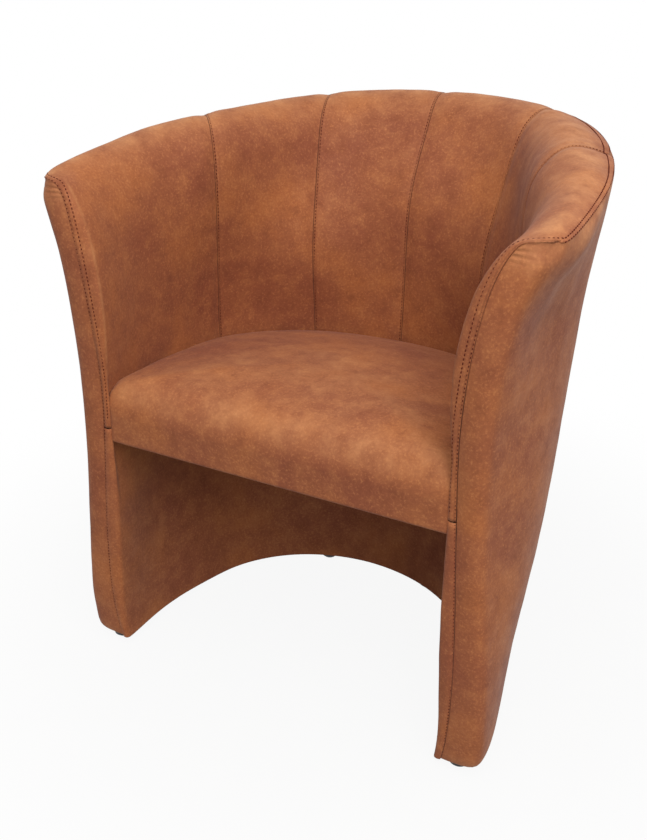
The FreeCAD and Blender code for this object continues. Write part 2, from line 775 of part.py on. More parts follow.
def narrow_outline(inset, z):
    """Outline that clears the walls at every height of the seat box."""
    low = seat_outline(seat_bottom, inset)
    high = seat_outline(seat_bottom + 38, inset)
    chosen = []
    for a, b in zip(low, high):
        flat_a = V(a.x, a.y, 0)
        flat_b = V(b.x, b.y, 0)
        nearer = a if (flat_a - seat_middle).Length < (flat_b - seat_middle).Length else b
        chosen.append(V(nearer.x, nearer.y, z))
    return chosen


def slab(outline, thick):
    return Part.Face(Part.makePolygon(outline + [outline[0]])).extrude(V(0, 0, thick))


def seat_ring(z):
    outer = slab(narrow_outline(size("ring_inset"), z), ring_thick)
    return outer.cut(slab(narrow_outline(size("ring_inset") + size("ring_width"), z), ring_thick))


ring_lower = seat_ring(ring_foot)
piece("seat_ring_upper", seat_ring(ring_foot + ring_thick))
dust_top = seat_bottom - 0.1
piece("dust_cloth", slab(narrow_outline(size("dust_inset"), dust_top - size("dust_thick")), size("dust_thick")))

# Seat bolts and glide nails. Each hole is cut through every piece that one crosses.

def bored(shape, holes):
    return shape.cut(Part.makeCompound(holes)) if holes else shape


def bore(start, axis, shank, length):
    return Part.makeCylinder(shank / 2 + size("hole_play"), length, start, axis)


def prism(start, way, wide, length, sides):
    """Level bar of four or six sides along a direction, this wide between its flats."""
    across_way = V(-way.y, way.x, 0)
    radius = wide / 2 / math.cos(math.pi / sides)
    corners = []
    for k in range(sides + 1):
        turn = math.pi * (2 * k + 1) / sides
        corners.append(start + across_way * (radius * math.cos(turn)) + V(0, 0, radius * math.sin(turn)))
    return Part.Face(Part.makePolygon(corners)).extrude(way * length)


bolt_z = ring_foot + ring_thick / 2
bolts = []
bolt_bores = []
cover_slits = []
inner_inset = size("ring_inset") + size("ring_width")
notch_size = size("bolt_head") / math.cos(math.pi / 6) + 2 * size("hole_play")


def seat_bolt(start, axis, length):
    """A pair of hexagon bolts: each head sits in a notch in the inner edge of the seat ring."""
    for side in (1, -1):
        way = V(side * axis.x, axis.y, axis.z)
        here = V(side * start.x, start.y, start.z) + way * 2
        shank = Part.makeCylinder(size("seat_bolt") / 2, length, here, way)
        head = prism(here - way * size("bolt_cap"), way, size("bolt_head"), size("bolt_cap"), 6)
        bolts.append(shank.fuse(head))
        notch = prism(here - way * 8, way, notch_size, 8, 4)
        bolt_bores.append(notch.fuse(bore(here - way, way, size("seat_bolt"), length + 2)))
        cover_slits.append(prism(here - way, way, size("seat_bolt") + 2 * size("hole_play"), length + 2, 4))


front_y = front_line + plate_front + size("plate_thick") / 2 + 1
front_wall = inside.at_height(0.03, bolt_z, 0.0)
inner_edge = narrow_outline(inner_inset, bolt_z)
front_ring = min((p for p in inner_edge if p.x > 0), key=lambda p: -p.x - 1000 * (p.y < front_y + 60))
front_start = V(front_ring.x, front_y, bolt_z)
rear_wall = inside.at_height(QUARTER_SEAM, bolt_z, 0.0)
rear_way = inside.at_height(QUARTER_SEAM, bolt_z, 1.0) - rear_wall
rear_way.z = 0
rear_way.normalize()
rear_ring = inner_edge[7 + SEAT_PLACES.index(QUARTER_SEAM)]
through_wall = frame_inner + size("bolt_bite")
seat_bolt(front_start, V(1, 0, 0), front_wall.x + through_wall - front_start.x - 2)
seat_bolt(rear_ring, rear_way, (rear_wall - rear_ring).Length + through_wall - 2)
piece("seat_bolts", Part.makeCompound(bolts))

glide_places = [(size("front_glide_x") * across, size("front_glide_y") * across),
                (size("rear_glide_x") * across, size("rear_glide_y") * across)]
glide_bores = []
for x, y in glide_places:
    for side in (1, -1):
        start = V(side * x, y + front_line, bottom)
        glide_bores.append(bore(start, V(0, 0, 1), size("glide_nail"), size("nail_length") + 1))

piece("base_rail", bored(base_rail, glide_bores))
piece("seat_level_rail", seat_level_rail)
piece("top_rail", top_rail)
pair("arm_front_frame", bored(arm_plate, bolt_bores + glide_bores))
pair("upper_stud_back", bored(back_stud, bolt_bores))
piece("seat_ring_lower", bored(ring_lower, bolt_bores))
piece("seat_cover", bored(seat_cover, cover_slits))

# Objects of the model: the lofted pieces, then the straight ones bound to the sizes

nodes = []
for name, shape in sorted(PIECES.items()):
    feature = doc.addObject("Part::Feature", name)
    feature.Shape = shape
    feature.Label = name
    nodes.append(feature)

# Webbing straps from the front to the back over the hole in the rings

strap_ring = narrow_outline(size("ring_inset") + 6, 0)
for number in range(5):
    x = (number - 2) * size("strap_pitch") * across
    reach = abs(x) + size("strap_width") / 2
    behind = [(a, b) for a, b in zip(strap_ring, strap_ring[1:]) if a.y > seat_middle.y and b.y > seat_middle.y]
    rear = min(a.y + (b.y - a.y) * (reach - a.x) / (b.x - a.x) for a, b in behind
               if a.x >= reach >= b.x and a.x > b.x)
    front = front_line + seat_front + size("ring_inset") + 6
    strap = doc.addObject("Part::Box", "webbing_strap_%d" % (number + 1))
    strap.Label = strap.Name
    strap.setExpression("Length", "Sizes.strap_width")
    strap.setExpression("Height", "Sizes.strap_thick")
    strap.Width = rear - front
    strap.Placement.Base = V(x - size("strap_width") / 2, front, rings_top)
    nodes.append(strap)

# Glides: four buttons with a slanted lower edge, each driven in by its own nail


def plane_of(body, role):
    for feature in body.Origin.OriginFeatures:
        if feature.Role == role:
            return feature
    raise ValueError(role)


def circle_sketch(body, label, z, diameter):
    """Round outline on the level plane of a body, with its diameter bound to a size."""
    sketch = body.newObject("Sketcher::SketchObject", label)
    sketch.AttachmentSupport = [(plane_of(body, "XY_Plane"), "")]
    sketch.MapMode = "FlatFace"
    sketch.AttachmentOffset = FreeCAD.Placement(V(0, 0, z), FreeCAD.Rotation())
    sketch.addGeometry(Part.Circle(V(0, 0, 0), V(0, 0, 1), 5), False)
    sketch.addConstraint(Sketcher.Constraint("Coincident", 0, 3, -1, 1))
    sketch.addConstraint(Sketcher.Constraint("Diameter", 0, 10))
    sketch.setExpression("Constraints[1]", diameter)
    return sketch


glide = doc.addObject("PartDesign::Body", "glide_button")
button = glide.newObject("PartDesign::Pad", "glide_pad")
button.Profile = circle_sketch(glide, "glide_outline", 0, "Sizes.glide_size")
button.setExpression("Length", "Sizes.bottom_gap - 0.1")
doc.recompute()
edges = button.Shape.Edges
lower = min(range(len(edges)), key=lambda k: edges[k].CenterOfMass.z)
slant = glide.newObject("PartDesign::Chamfer", "glide_slant")
slant.Base = (button, ["Edge%d" % (lower + 1)])
slant.setExpression("Size", "Sizes.glide_slant")
nail = glide.newObject("PartDesign::Pad", "glide_nail")
nail.Profile = circle_sketch(glide, "nail_outline", 0, "Sizes.glide_nail")
nail.setExpression("Length", "Sizes.bottom_gap + Sizes.nail_length")
doc.recompute()
copies = []
for x, y in glide_places:
    for side in (1, -1):
        copies.append(glide.Shape.translated(V(side * x, y + front_line, 0)))
glides = doc.addObject("Part::Feature", "glides")
glides.Label = "glides"
glides.Shape = Part.makeCompound(copies)
nodes.append(glides)
doc.recompute()

# Each piece is one file under its own name

for item in doc.Objects:
    if "Invalid" in item.State or "Error" in item.State:
        raise RuntimeError("%s: %s" % (item.Name, item.State))
for node in nodes:
    if node.Shape.isNull() or not node.Shape.isValid():
        raise RuntimeError("%s is not a valid solid" % node.Label)
    node.Shape.exportStep("parts/%s.step" % node.Label)
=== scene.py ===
# Cocktail chair: a tub chair whose arms and back are one padded shell, covered in brushed
# hide. The script goes from the outside in: covers of the shell, seat, dust cloth and thread,
# then padding, frame, webbing and bolts, and last the glides it stands on.

import math

import bmesh
import bpy
import numpy as np
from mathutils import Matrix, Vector
from mathutils.bvhtree import BVHTree


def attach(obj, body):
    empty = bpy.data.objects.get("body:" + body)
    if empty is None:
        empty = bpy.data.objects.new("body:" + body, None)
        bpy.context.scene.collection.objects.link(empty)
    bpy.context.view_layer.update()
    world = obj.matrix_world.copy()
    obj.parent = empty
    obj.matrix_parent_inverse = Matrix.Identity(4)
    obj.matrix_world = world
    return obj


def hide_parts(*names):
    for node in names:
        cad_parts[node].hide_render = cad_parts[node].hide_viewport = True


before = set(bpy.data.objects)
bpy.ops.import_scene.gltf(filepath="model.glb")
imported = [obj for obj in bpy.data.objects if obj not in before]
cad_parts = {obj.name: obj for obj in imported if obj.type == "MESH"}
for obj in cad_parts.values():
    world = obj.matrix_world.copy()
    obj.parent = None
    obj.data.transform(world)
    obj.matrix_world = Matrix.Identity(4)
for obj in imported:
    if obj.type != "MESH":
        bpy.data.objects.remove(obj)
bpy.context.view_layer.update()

# Camera. It stands in front of the chair and to one side, 0.93 m above the floor, and looks
# down at the seat.

STANDS_AT = (0.5380, -1.1413, 0.9295)
TURNED = 28.175
TILTED_DOWN = 26.205
LENS = 39.74
eye = bpy.data.cameras.new("camera")
eye.sensor_fit = "VERTICAL"
eye.sensor_height = 36.0
eye.lens = LENS
eye.clip_end = 100.0
camera = bpy.data.objects.new("camera", eye)
camera.location = STANDS_AT
camera.rotation_euler = (math.radians(90 - TILTED_DOWN), 0, math.radians(TURNED))
bpy.context.scene.collection.objects.link(camera)
bpy.context.scene.camera = camera

# Photo studio. White paper on the floor and nothing behind it. One wide soft light hangs
# overhead, a smaller one stands in front, and the pale room around fills the shadows.


def linear(code):
    """Colour of a hex code as linear light."""
    shares = [int(code[k:k + 2], 16) / 255 for k in (1, 3, 5)]
    curve = [c / 12.92 if c <= 0.04045 else ((c + 0.055) / 1.055) ** 2.4 for c in shares]
    return curve + [1.0]


def add(tree, kind, settings=None, inputs=None):
    """New node with its settings, and its sockets set to a value or joined to another node."""
    node = tree.nodes.new(kind)
    for name, value in (settings or {}).items():
        setattr(node, name, value)
    for name, value in (inputs or {}).items():
        if isinstance(value, bpy.types.NodeSocket):
            tree.links.new(value, node.inputs[name])
        else:
            node.inputs[name].default_value = value
    return node


def new_material(name):
    """Empty node material and its node tree."""
    material = bpy.data.materials.new(name)
    material.use_nodes = True
    material.node_tree.nodes.clear()
    return material, material.node_tree


def seen_directly(tree):
    """One for rays that come from the camera or by way of gloss or glass, else nought."""
    path = add(tree, "ShaderNodeLightPath")
    gloss = add(tree, "ShaderNodeMath", {"operation": "MAXIMUM"},
                {0: path.outputs["Is Camera Ray"], 1: path.outputs["Is Glossy Ray"]})
    either = add(tree, "ShaderNodeMath", {"operation": "MAXIMUM"},
                 {0: gloss.outputs[0], 1: path.outputs["Is Transmission Ray"]})
    return either.outputs[0]


scene = bpy.context.scene
scene.view_settings.view_transform = "Standard"

room = bpy.data.worlds.new("pale_room")
room.use_nodes = True
tree = room.node_tree
tree.nodes.clear()
around = add(tree, "ShaderNodeBackground", inputs={"Color": linear("#ffffff"), "Strength": 0.5})
white = add(tree, "ShaderNodeBackground", inputs={"Color": linear("#ffffff"), "Strength": 1.0})
either = add(tree, "ShaderNodeMixShader",
             inputs={0: seen_directly(tree), 1: around.outputs[0], 2: white.outputs[0]})
add(tree, "ShaderNodeOutputWorld", inputs={"Surface": either.outputs[0]})
scene.world = room

# Rolled backdrop paper: matt, and plain white to the eye but for a soft shadow near the chair.
# Its fibre is too fine to show, so faint clouds stand for it.

FIBRE_MM = 66.7
SHADOW_NEAR = 0.3
SHADOW_FAR = 0.95
WHITE_NEAR = 0.92


def pattern_scale(size_mm):
    """Scale of a pattern on metres whose marks are this many millimetres across."""
    return 1000.0 / size_mm


paper, tree = new_material("white_backdrop_paper")
spot = add(tree, "ShaderNodeTexCoord").outputs["Object"]
fibre = add(tree, "ShaderNodeTexNoise",
            inputs={"Vector": spot, "Scale": pattern_scale(FIBRE_MM), "Detail": 3.0})
tone = add(tree, "ShaderNodeMix", {"data_type": "RGBA"},
           {0: fibre.outputs[0], 6: linear("#a5a3a0"), 7: linear("#b3b1ae")})
matt = add(tree, "ShaderNodeBsdfDiffuse", inputs={"Color": tone.outputs[2]})
glow = add(tree, "ShaderNodeEmission", inputs={"Color": linear("#ffffff"), "Strength": 1.0})
away = add(tree, "ShaderNodeVectorMath", {"operation": "LENGTH"}, {0: spot})
spread = add(tree, "ShaderNodeMapRange", {"interpolation_type": "SMOOTHSTEP"},
             {0: away.outputs["Value"], 1: SHADOW_NEAR, 2: SHADOW_FAR, 3: WHITE_NEAR, 4: 1.0})
lifted = add(tree, "ShaderNodeMixShader",
             inputs={0: spread.outputs[0], 1: matt.outputs[0], 2: glow.outputs[0]})
either = add(tree, "ShaderNodeMixShader",
             inputs={0: seen_directly(tree), 1: matt.outputs[0], 2: lifted.outputs[0]})
add(tree, "ShaderNodeOutputMaterial", inputs={"Surface": either.outputs[0]})

FLOOR_REACH = 30
floor_mesh = bpy.data.meshes.new("studio_floor")
floor_mesh.from_pydata([(-FLOOR_REACH, -FLOOR_REACH, 0), (FLOOR_REACH, -FLOOR_REACH, 0),
                        (FLOOR_REACH, FLOOR_REACH, 0), (-FLOOR_REACH, FLOOR_REACH, 0)],
                       [], [(0, 1, 2, 3)])
floor = bpy.data.objects.new("studio_floor", floor_mesh)
floor_mesh.materials.append(paper)
scene.collection.objects.link(floor)


def soft_light(name, place, target, size, watts):
    """Wide soft light that faces a point."""
    lamp = bpy.data.lights.new(name, "AREA")
    lamp.shape = "DISK"
    lamp.size = size
    lamp.energy = watts
    lamp_object = bpy.data.objects.new(name, lamp)
    lamp_object.location = place
    aim = Vector(target) - Vector(place)
    lamp_object.rotation_euler = aim.to_track_quat("-Z", "Y").to_euler()
    scene.collection.objects.link(lamp_object)


soft_light("overhead_light", (0.8, -1.1, 2.5), (0, 0, 0.45), 2.2, 61)
soft_light("front_light", (1.6, -2.3, 1.7), (0, 0, 0.5), 1.6, 20)

# Shell form. The cover is stretched over foam and board that are bent round the sitter. Its
# two faces are drawn through level lines, in millimetres from the front line of the arms.

MM = 0.001
FRONT_LINE = -298.3
STATIONS = [(257.5, 0, 0), (247, 88, 9), (225, 176, 24),
            (202, 236, 45), (117, 319, 73.4), (0, 348.7, 90)]
PLACE = [0, 0.17, 0.355, 0.504, 0.76, 1]
RISE = [0, 0.2, 0.48, 0.66, 0.87, 1]

# Each row: position up the profile, height at the arm front, height at the middle of the
# back, distance of the arm corner from the front line, and distance outward from the stations.

INSIDE = [
    (0, 14, 14, 8, (0, 0, 0, 0, 0, 0)),
    (176, 190, 190, 8, (8, 11, 23, 31, 36, 34.5)),
    (400, 428, 400, 14, (-7, 9.5, 37, 60, 74, 69)),
    (530, 540, 540, 14, (-2, 9, 28.5, 44.5, 63, 75)),
    (648, 655, 655, 22, (20, 22, 27.5, 29.5, 99, 101)),
    (700, 686, 712, 28, (36, 38, 41, 39.5, 122, 138)),
    (728, 693, 738, 32, (44, 48, 54, 55, 141, 156)),
    (760, 697, 755.5, 34, (55, 63, 76, 79, 175, 182)),
    (796, 696, 753, 35, (66, 78, 97, 111, 211, 218)),
    (830, 689, 741, 36, (75, 91, 115, 143, 244, 249)),
]
OUTSIDE = [
    (0, 689, 741, 36, (75, 91, 115, 143, 244, 249)),
    (22, 670, 722, 34, (70, 95, 114, 143, 246, 250)),
    (62, 640, 640, 26, (56, 76, 107, 130, 196, 204)),
    (235, 470, 470, 16, (30.5, 60, 94, 112, 134, 136)),
    (515, 190, 190, 12, (46, 64, 76, 88, 94, 92)),
    (672, 34, 34, 10, (51, 54, 56, 59, 56, 54)),
    (687, 20, 20, 12, (47.5, 50.5, 52.5, 55, 52.5, 50.5)),
    (697, 14.6, 14.6, 15, (39, 42, 44, 46, 44, 42)),
    (705, 14, 14, 18, (31, 34, 36, 38, 36, 34)),
    (714, 14, 14, 21, (22, 25, 27, 29, 27, 25)),
]

# The seam up the front face of an arm, row by row, and how far forward that face stands.

INSIDE_SEAM = [(257.5, 0, 14), (265.5, -2, 190), (250.5, 6, 428), (255.5, 2, 540), (276, 8, 655),
               (291, 13, 684), (299, 12, 690), (309, 13, 691.5), (320, 20, 690.5), (329, 29, 688)]
OUTSIDE_SEAM = [(294, 12.5, 687), (287, 11, 671), (272, 6.5, 640), (251.5, 4, 470), (265.5, -2, 190),
                (260, -2, 34), (258.5, -1, 20), (258.5, 2, 14.6), (260, 8, 14), (262, 14, 14)]
FACE_FRONT = [11, 8.5, 4.5, 0, -3.5, -4, -2.5, 2, 9, 16]
SEAM_PLACE = -0.06
SEAM_GAP = 0.003
FRONT_SEAM = SEAM_PLACE + SEAM_GAP
RIM = 830.0
NOSE_PLACES = [-0.115, -0.075, -0.03]
ARM_SEAM = 0.504
QUARTER_SEAM = 0.76
MIDDLE_SEAM = 1.0

# The inner front edge of an arm is padded. It stands this much further in than the board's
# corner, by position up the profile, and closes round the front corner of the seat.

EDGE_ROWS = [-30, 0, 37, 102, 165, 223, 280, 323, 374, 400, 419,
             455, 485, 530, 554, 591, 625, 645, 700, 728, 760, 860]
EDGE_WIDE = [10, 10.5, 13, 19.5, 22, 21, 12, 4, 3.2, 3.8, 7.7,
             12.3, 15.5, 20, 21.5, 21, 19.5, 17, 11, 5, 1, 0]
EDGE_LIP = [0, 0, 0, 0, 0, 0, 4.5, 8.7, 7, 4.2, 0.5, 0, 0, 0, 0, 0, 0, 0, 0, 0, 0, 0]
EVERY_MM = np.arange(-60, 891.0)
WIDE_REACH = 0.14
LIP_REACH = 0.0125
FORWARD = 4.5
FORWARD_REACH = 0.05

# At the top corner the front seam turns into the rim in a round bend instead of a point: the
# corner is drawn in, back and up, less and less with the distance from it.

CORNER_SHIFT = (8.5, 9.5, 1.2)
CORNER_REACH = 21
MM_PER_PLACE = 560


def fading(distance, reach):
    """One at no distance, falling smoothly to nought past the reach."""
    return np.exp(-(distance / reach) ** 2)


def eased_profile(values):
    """Values at the edge rows as a smooth profile, millimetre by millimetre."""
    bell = fading(np.arange(-30, 31), 11.0)
    return np.convolve(np.interp(EVERY_MM, EDGE_ROWS, values), bell / bell.sum(), "same")


edge_wide = eased_profile(EDGE_WIDE)
edge_lip = eased_profile(EDGE_LIP)


def front_edge_padding(place, along):
    """Shift of the inside face near the front of an arm."""
    hand = np.where(place > 1, -1.0, 1.0)
    near = np.where(place > 1, 2 - place, place)
    ahead = np.clip(near / SEAM_PLACE, 0, 1)
    behind = np.clip(near, 0, None)
    wide = np.interp(along, EVERY_MM, edge_wide)
    lip = np.interp(along, EVERY_MM, edge_lip)
    inward = wide * fading(behind, WIDE_REACH) + lip * fading(behind, LIP_REACH)
    inward = inward * np.cos(ahead * math.pi / 2)
    forward = FORWARD * (1 - ahead ** 2) * fading(behind, FORWARD_REACH)
    forward = forward * np.clip((wide + lip) / 8, 0, 1)
    turn = np.exp(-np.hypot((near - SEAM_PLACE) * MM_PER_PLACE, along - RIM) / CORNER_REACH)
    aside, back, up = CORNER_SHIFT
    return np.stack([-hand * (inward + aside * turn), -forward + back * turn, up * turn], axis=-1)


def slope_rule(knots):
    """Matrix that turns the values at the knots into the slopes of a smooth curve through them."""
    count = len(knots)
    gap = np.diff(knots)
    left = np.zeros((count, count))
    right = np.zeros((count, count))
    for i in range(1, count - 1):
        before = 3 * gap[i] / gap[i - 1]
        after = 3 * gap[i - 1] / gap[i]
        left[i, i - 1:i + 2] = gap[i], 2 * (gap[i - 1] + gap[i]), gap[i - 1]
        right[i, i - 1:i + 2] = -before, before - after, after
    for end, near in ((0, [1, 2, 3]), (count - 1, [count - 2, count - 3, count - 4])):
        left[end, end] = 1
        right[end, end] = sum(1 / (knots[end] - knots[k]) for k in near)
        for k in near:
            weight = 1 / (knots[k] - knots[end])
            for other in near:
                if other != k:
                    weight *= (knots[end] - knots[other]) / (knots[k] - knots[other])
            right[end, k] = weight
    return np.linalg.solve(left, right)


def blend_span(v0, v1, m0, m1, gap, t):
    """Points on smooth curves between their knots: values, slopes, knot gap and share of it."""
    t = t.reshape(t.shape + (1,) * (v0.ndim - t.ndim))
    gap = gap.reshape(t.shape)
    return ((1 + 2 * t) * (1 - t) ** 2 * v0 + t * (1 - t) ** 2 * gap * m0
            + t * t * (3 - 2 * t) * v1 + t * t * (t - 1) * gap * m1)


class Side:
    """One face of the shell: points at a place round the plan and a position up the profile."""

    def __init__(self, table, leads, lead_places, padding=None):
        self.padding = padding
        half_places = list(lead_places) + PLACE
        self.places = np.array(half_places + [2 - p for p in reversed(half_places)][1:])
        self.rows = np.array([float(row[0]) for row in table])
        lines = []
        for row, lead in zip(table, leads):
            points = [list(p) for p in lead]
            for (x, y, angle), place, rise, out in zip(STATIONS, PLACE, RISE, row[4]):
                start = row[3] if place == 0 else y
                away = math.radians(angle)
                z = row[1] + (row[2] - row[1]) * rise
                points.append([x + out * math.cos(away), start + out * math.sin(away), z])
            points += [[-x, y, z] for x, y, z in reversed(points)][1:]
            lines.append(points)
        self.points = np.array(lines).transpose(1, 0, 2)
        self.slopes = np.tensordot(slope_rule(self.places), self.points, 1)
        self.row_rule = slope_rule(self.rows)

    def at(self, place, along):
        """Point of the face at a place and a position."""
        place, along = np.broadcast_arrays(place, along)
        shape = place.shape
        p = place.ravel().astype(float)
        a = along.ravel().astype(float)
        span = np.clip(np.searchsorted(self.places, p, "right") - 1, 0, len(self.places) - 2)
        gap = np.diff(self.places)[span]
        level = blend_span(self.points[span], self.points[span + 1], self.slopes[span],
                           self.slopes[span + 1], gap, (p - self.places[span]) / gap)
        climb = np.einsum("ij,kjd->kid", self.row_rule, level)
        span = np.clip(np.searchsorted(self.rows, a, "right") - 1, 0, len(self.rows) - 2)
        gap = np.diff(self.rows)[span]
        k = np.arange(len(a))
        found = blend_span(level[k, span], level[k, span + 1], climb[k, span],
                           climb[k, span + 1], gap, (a - self.rows[span]) / gap)
        if self.padding:
            found = found + self.padding(p, a)
        return found.reshape(shape + (3,)) + np.array([0, FRONT_LINE, 0])

    def into(self, place, along):
        """Direction square to the face, into the wall."""
        sideways = self.at(place + 0.002, along) - self.at(place - 0.002, along)
        climb = self.at(place, along + 1.0) - self.at(place, along - 1.0)
        normal = np.cross(sideways, climb)
        return normal / np.linalg.norm(normal, axis=-1, keepdims=True)


def nose_leads():
    """Points of each outside row on the front face of the arm, before the first station."""
    leads = []
    for row, seam, face in zip(OUTSIDE, OUTSIDE_SEAM, FACE_FRONT):
        corner_x = STATIONS[0][0] + row[4][0]
        turn = row[3] - face
        middle = ((seam[0] + corner_x - 0.4 * turn) / 2, face, (seam[2] + row[1]) / 2)
        leads.append([seam, middle, (corner_x - 0.29 * turn, face + 0.29 * turn, row[1])])
    return leads


inside = Side(INSIDE, [[seam] for seam in INSIDE_SEAM], [SEAM_PLACE], front_edge_padding)
outside = Side(OUTSIDE, nose_leads(), NOSE_PLACES)

# Hide. Brushed leather with a waxed, worn look: soft mottled browns, paler where hands and
# clothes rub it, with a painted highlight laid on those crests and edges too, darker along
# the seams, partly dark joins and partly painted shade in their grooves, a fine pebble
# grain and almost no gloss. The grain is drawn about twice as coarse as the real one, so
# that it shows.

HIDE_THICK = 1.4
CLOUD_MM = 90.9
PATCH_MM = 26.3
SPECK_MM = 3.226
CREASE_MM = 10.53
PEBBLE_MM = 1.786


def hide_material(name):
    """Hide in clouds, patches and specks, paler with wear and a painted highlight, darker at seams
    with painted shade.
    """
    material, tree = new_material(name)
    place = add(tree, "ShaderNodeTexCoord").outputs["Object"]
    cloud = add(tree, "ShaderNodeTexNoise",
                inputs={"Vector": place, "Scale": pattern_scale(CLOUD_MM), "Detail": 4.0,
                        "Roughness": 0.55})
    patch = add(tree, "ShaderNodeTexNoise",
                inputs={"Vector": place, "Scale": pattern_scale(PATCH_MM), "Detail": 8.0,
                        "Roughness": 0.7})
    speck = add(tree, "ShaderNodeTexNoise",
                inputs={"Vector": place, "Scale": pattern_scale(SPECK_MM), "Detail": 5.0,
                        "Roughness": 0.7})
    tones = add(tree, "ShaderNodeValToRGB", inputs={"Fac": cloud.outputs[0]})
    ramp = tones.color_ramp
    ramp.elements[0].position = 0.34
    ramp.elements[0].color = linear("#84482e")
    ramp.elements[1].position = 0.68
    ramp.elements[1].color = linear("#9e5d34")
    middle = ramp.elements.new(0.5)
    middle.color = linear("#8f5232")
    pale = add(tree, "ShaderNodeMapRange",
               inputs={0: patch.outputs[0], 1: 0.5, 2: 0.7, 3: 0.0, 4: 0.5})
    tan = add(tree, "ShaderNodeMix", {"data_type": "RGBA"},
              {0: pale.outputs[0], 6: tones.outputs[0], 7: linear("#ad6d40")})
    deep = add(tree, "ShaderNodeMapRange",
               inputs={0: patch.outputs[0], 1: 0.47, 2: 0.3, 3: 0.0, 4: 0.42})
    brown = add(tree, "ShaderNodeMix", {"data_type": "RGBA"},
                {0: deep.outputs[0], 6: tan.outputs[2], 7: linear("#6c3722")})
    fine = add(tree, "ShaderNodeMapRange",
               inputs={0: speck.outputs[0], 1: 0.38, 2: 0.66, 3: 0.0, 4: 0.34})
    grained = add(tree, "ShaderNodeMix", {"data_type": "RGBA"},
                  {0: fine.outputs[0], 6: brown.outputs[2], 7: linear("#683520")})
    scuff = add(tree, "ShaderNodeMapRange",
                inputs={0: speck.outputs[0], 1: 0.46, 2: 0.26, 3: 0.0, 4: 0.42})
    scuffed = add(tree, "ShaderNodeMix", {"data_type": "RGBA"},
                  {0: scuff.outputs[0], 6: grained.outputs[2], 7: linear("#c18150")})
    # The attribute read here lightens the colour on crests, arm caps and edges: partly wear, partly a
    # painted highlight.
    wear_highlight_attribute = add(tree, "ShaderNodeAttribute", {"attribute_name": "worn_and_highlit"})
    uneven = add(tree, "ShaderNodeMapRange",
                 inputs={0: patch.outputs[0], 1: 0.32, 2: 0.64, 3: 0.3, 4: 1.0})
    wear_highlight_share = add(tree, "ShaderNodeMath", {"operation": "MULTIPLY"},
                  {0: wear_highlight_attribute.outputs["Fac"], 1: uneven.outputs[0]})
    paled_and_highlit = add(tree, "ShaderNodeMix", {"data_type": "RGBA"},
                {0: wear_highlight_share.outputs[0], 6: scuffed.outputs[2], 7: linear("#bd8456")})
    # The attribute read here darkens the colour at the seams: partly dark joins, partly painted shade
    # in the seam grooves.
    seam_shade_attribute = add(tree, "ShaderNodeAttribute", {"attribute_name": "seam_dirt_and_shade"})
    shown = add(tree, "ShaderNodeMix", {"data_type": "RGBA"},
                {0: seam_shade_attribute.outputs["Fac"], 6: paled_and_highlit.outputs[2], 7: linear("#45200f")})
    pebble = add(tree, "ShaderNodeTexVoronoi", {"feature": "DISTANCE_TO_EDGE"},
                 {"Vector": place, "Scale": pattern_scale(PEBBLE_MM), "Randomness": 1.0})
    creases = add(tree, "ShaderNodeTexNoise",
                  inputs={"Vector": place, "Scale": pattern_scale(CREASE_MM), "Detail": 6.0,
                          "Roughness": 0.65})
    relief = add(tree, "ShaderNodeMath", {"operation": "MULTIPLY_ADD"},
                 {0: pebble.outputs[0], 1: 0.5, 2: creases.outputs[0]})
    bump = add(tree, "ShaderNodeBump",
               inputs={"Strength": 0.3, "Distance": 0.0009, "Height": relief.outputs[0]})
    matt = add(tree, "ShaderNodeMapRange",
               inputs={0: patch.outputs[0], 1: 0.3, 2: 0.7, 3: 0.82, 4: 0.62})
    surface = add(tree, "ShaderNodeBsdfPrincipled",
                  inputs={"Base Color": shown.outputs[2], "Roughness": matt.outputs[0], "IOR": 1.45,
                          "Specular IOR Level": 0.25, "Sheen Weight": 0.05, "Sheen Roughness": 0.5,
                          "Normal": bump.outputs[0]})
    add(tree, "ShaderNodeOutputMaterial", inputs={"Surface": surface.outputs[0]})
    return material


hide = hide_material("brushed_waxed_hide")

# Inside panels. Two arm panels and four back panels of hide over 7 mm foam, sewn to each
# other in five upright seams. The seams are turned to the middle and topstitched.

PANELS = [
    ("arm_panel_right", FRONT_SEAM, ARM_SEAM),
    ("back_panel_outer_right", ARM_SEAM, QUARTER_SEAM),
    ("back_panel_centre_right", QUARTER_SEAM, MIDDLE_SEAM),
    ("back_panel_centre_left", MIDDLE_SEAM, 2 - QUARTER_SEAM),
    ("back_panel_outer_left", 2 - QUARTER_SEAM, 2 - ARM_SEAM),
    ("arm_panel_left", 2 - ARM_SEAM, 2 - FRONT_SEAM),
]
BACK_SEAMS = [ARM_SEAM, QUARTER_SEAM, MIDDLE_SEAM, 2 - QUARTER_SEAM, 2 - ARM_SEAM]
TOPSTITCH = 2.4
SECOND_ROW = 8.0
WIDER_ON_RIM = 1.35
GROOVE_WIDE = 0.9
THREAD_SINKS = 0.35
VALLEY_DEEP = 3.0
VALLEY_REACH = 0.016
LAP_PROUD = 0.9
SEAM_SHADE_REACH = 0.8
CREST = 775
panel_alongs = np.concatenate([
    np.arange(338, 800, 4.0), np.arange(800, 816, 2.0),
    RIM - np.array([14, 12, 11, 10, 9, 8, 7, 5.5, 4.2, 3.2, 2.4, 1.6, 0.9, 0.4, 0.05, 0.05])])


def steps_from(edge_steps, total, pitch):
    """Positions across a piece: fine near both edges and even between them."""
    inner = np.linspace(edge_steps[-1], total - edge_steps[-1],
                        max(3, int(round((total - 2 * edge_steps[-1]) / pitch)) + 1))
    return np.concatenate([edge_steps[:-1], inner, total - np.array(edge_steps[:-1])[::-1]])


EDGE_STEPS = [0, 0, 0.35, 0.9, 1.6, 2.4, 3.2, 4.2, 5.5, 7.0, 8.0, 9.0, 11.0, 14.0]
ARM_STEPS = EDGE_STEPS + [16.0, 18.0, 20.0, 22.0, 24.0, 26.0, 29.0, 32.0]


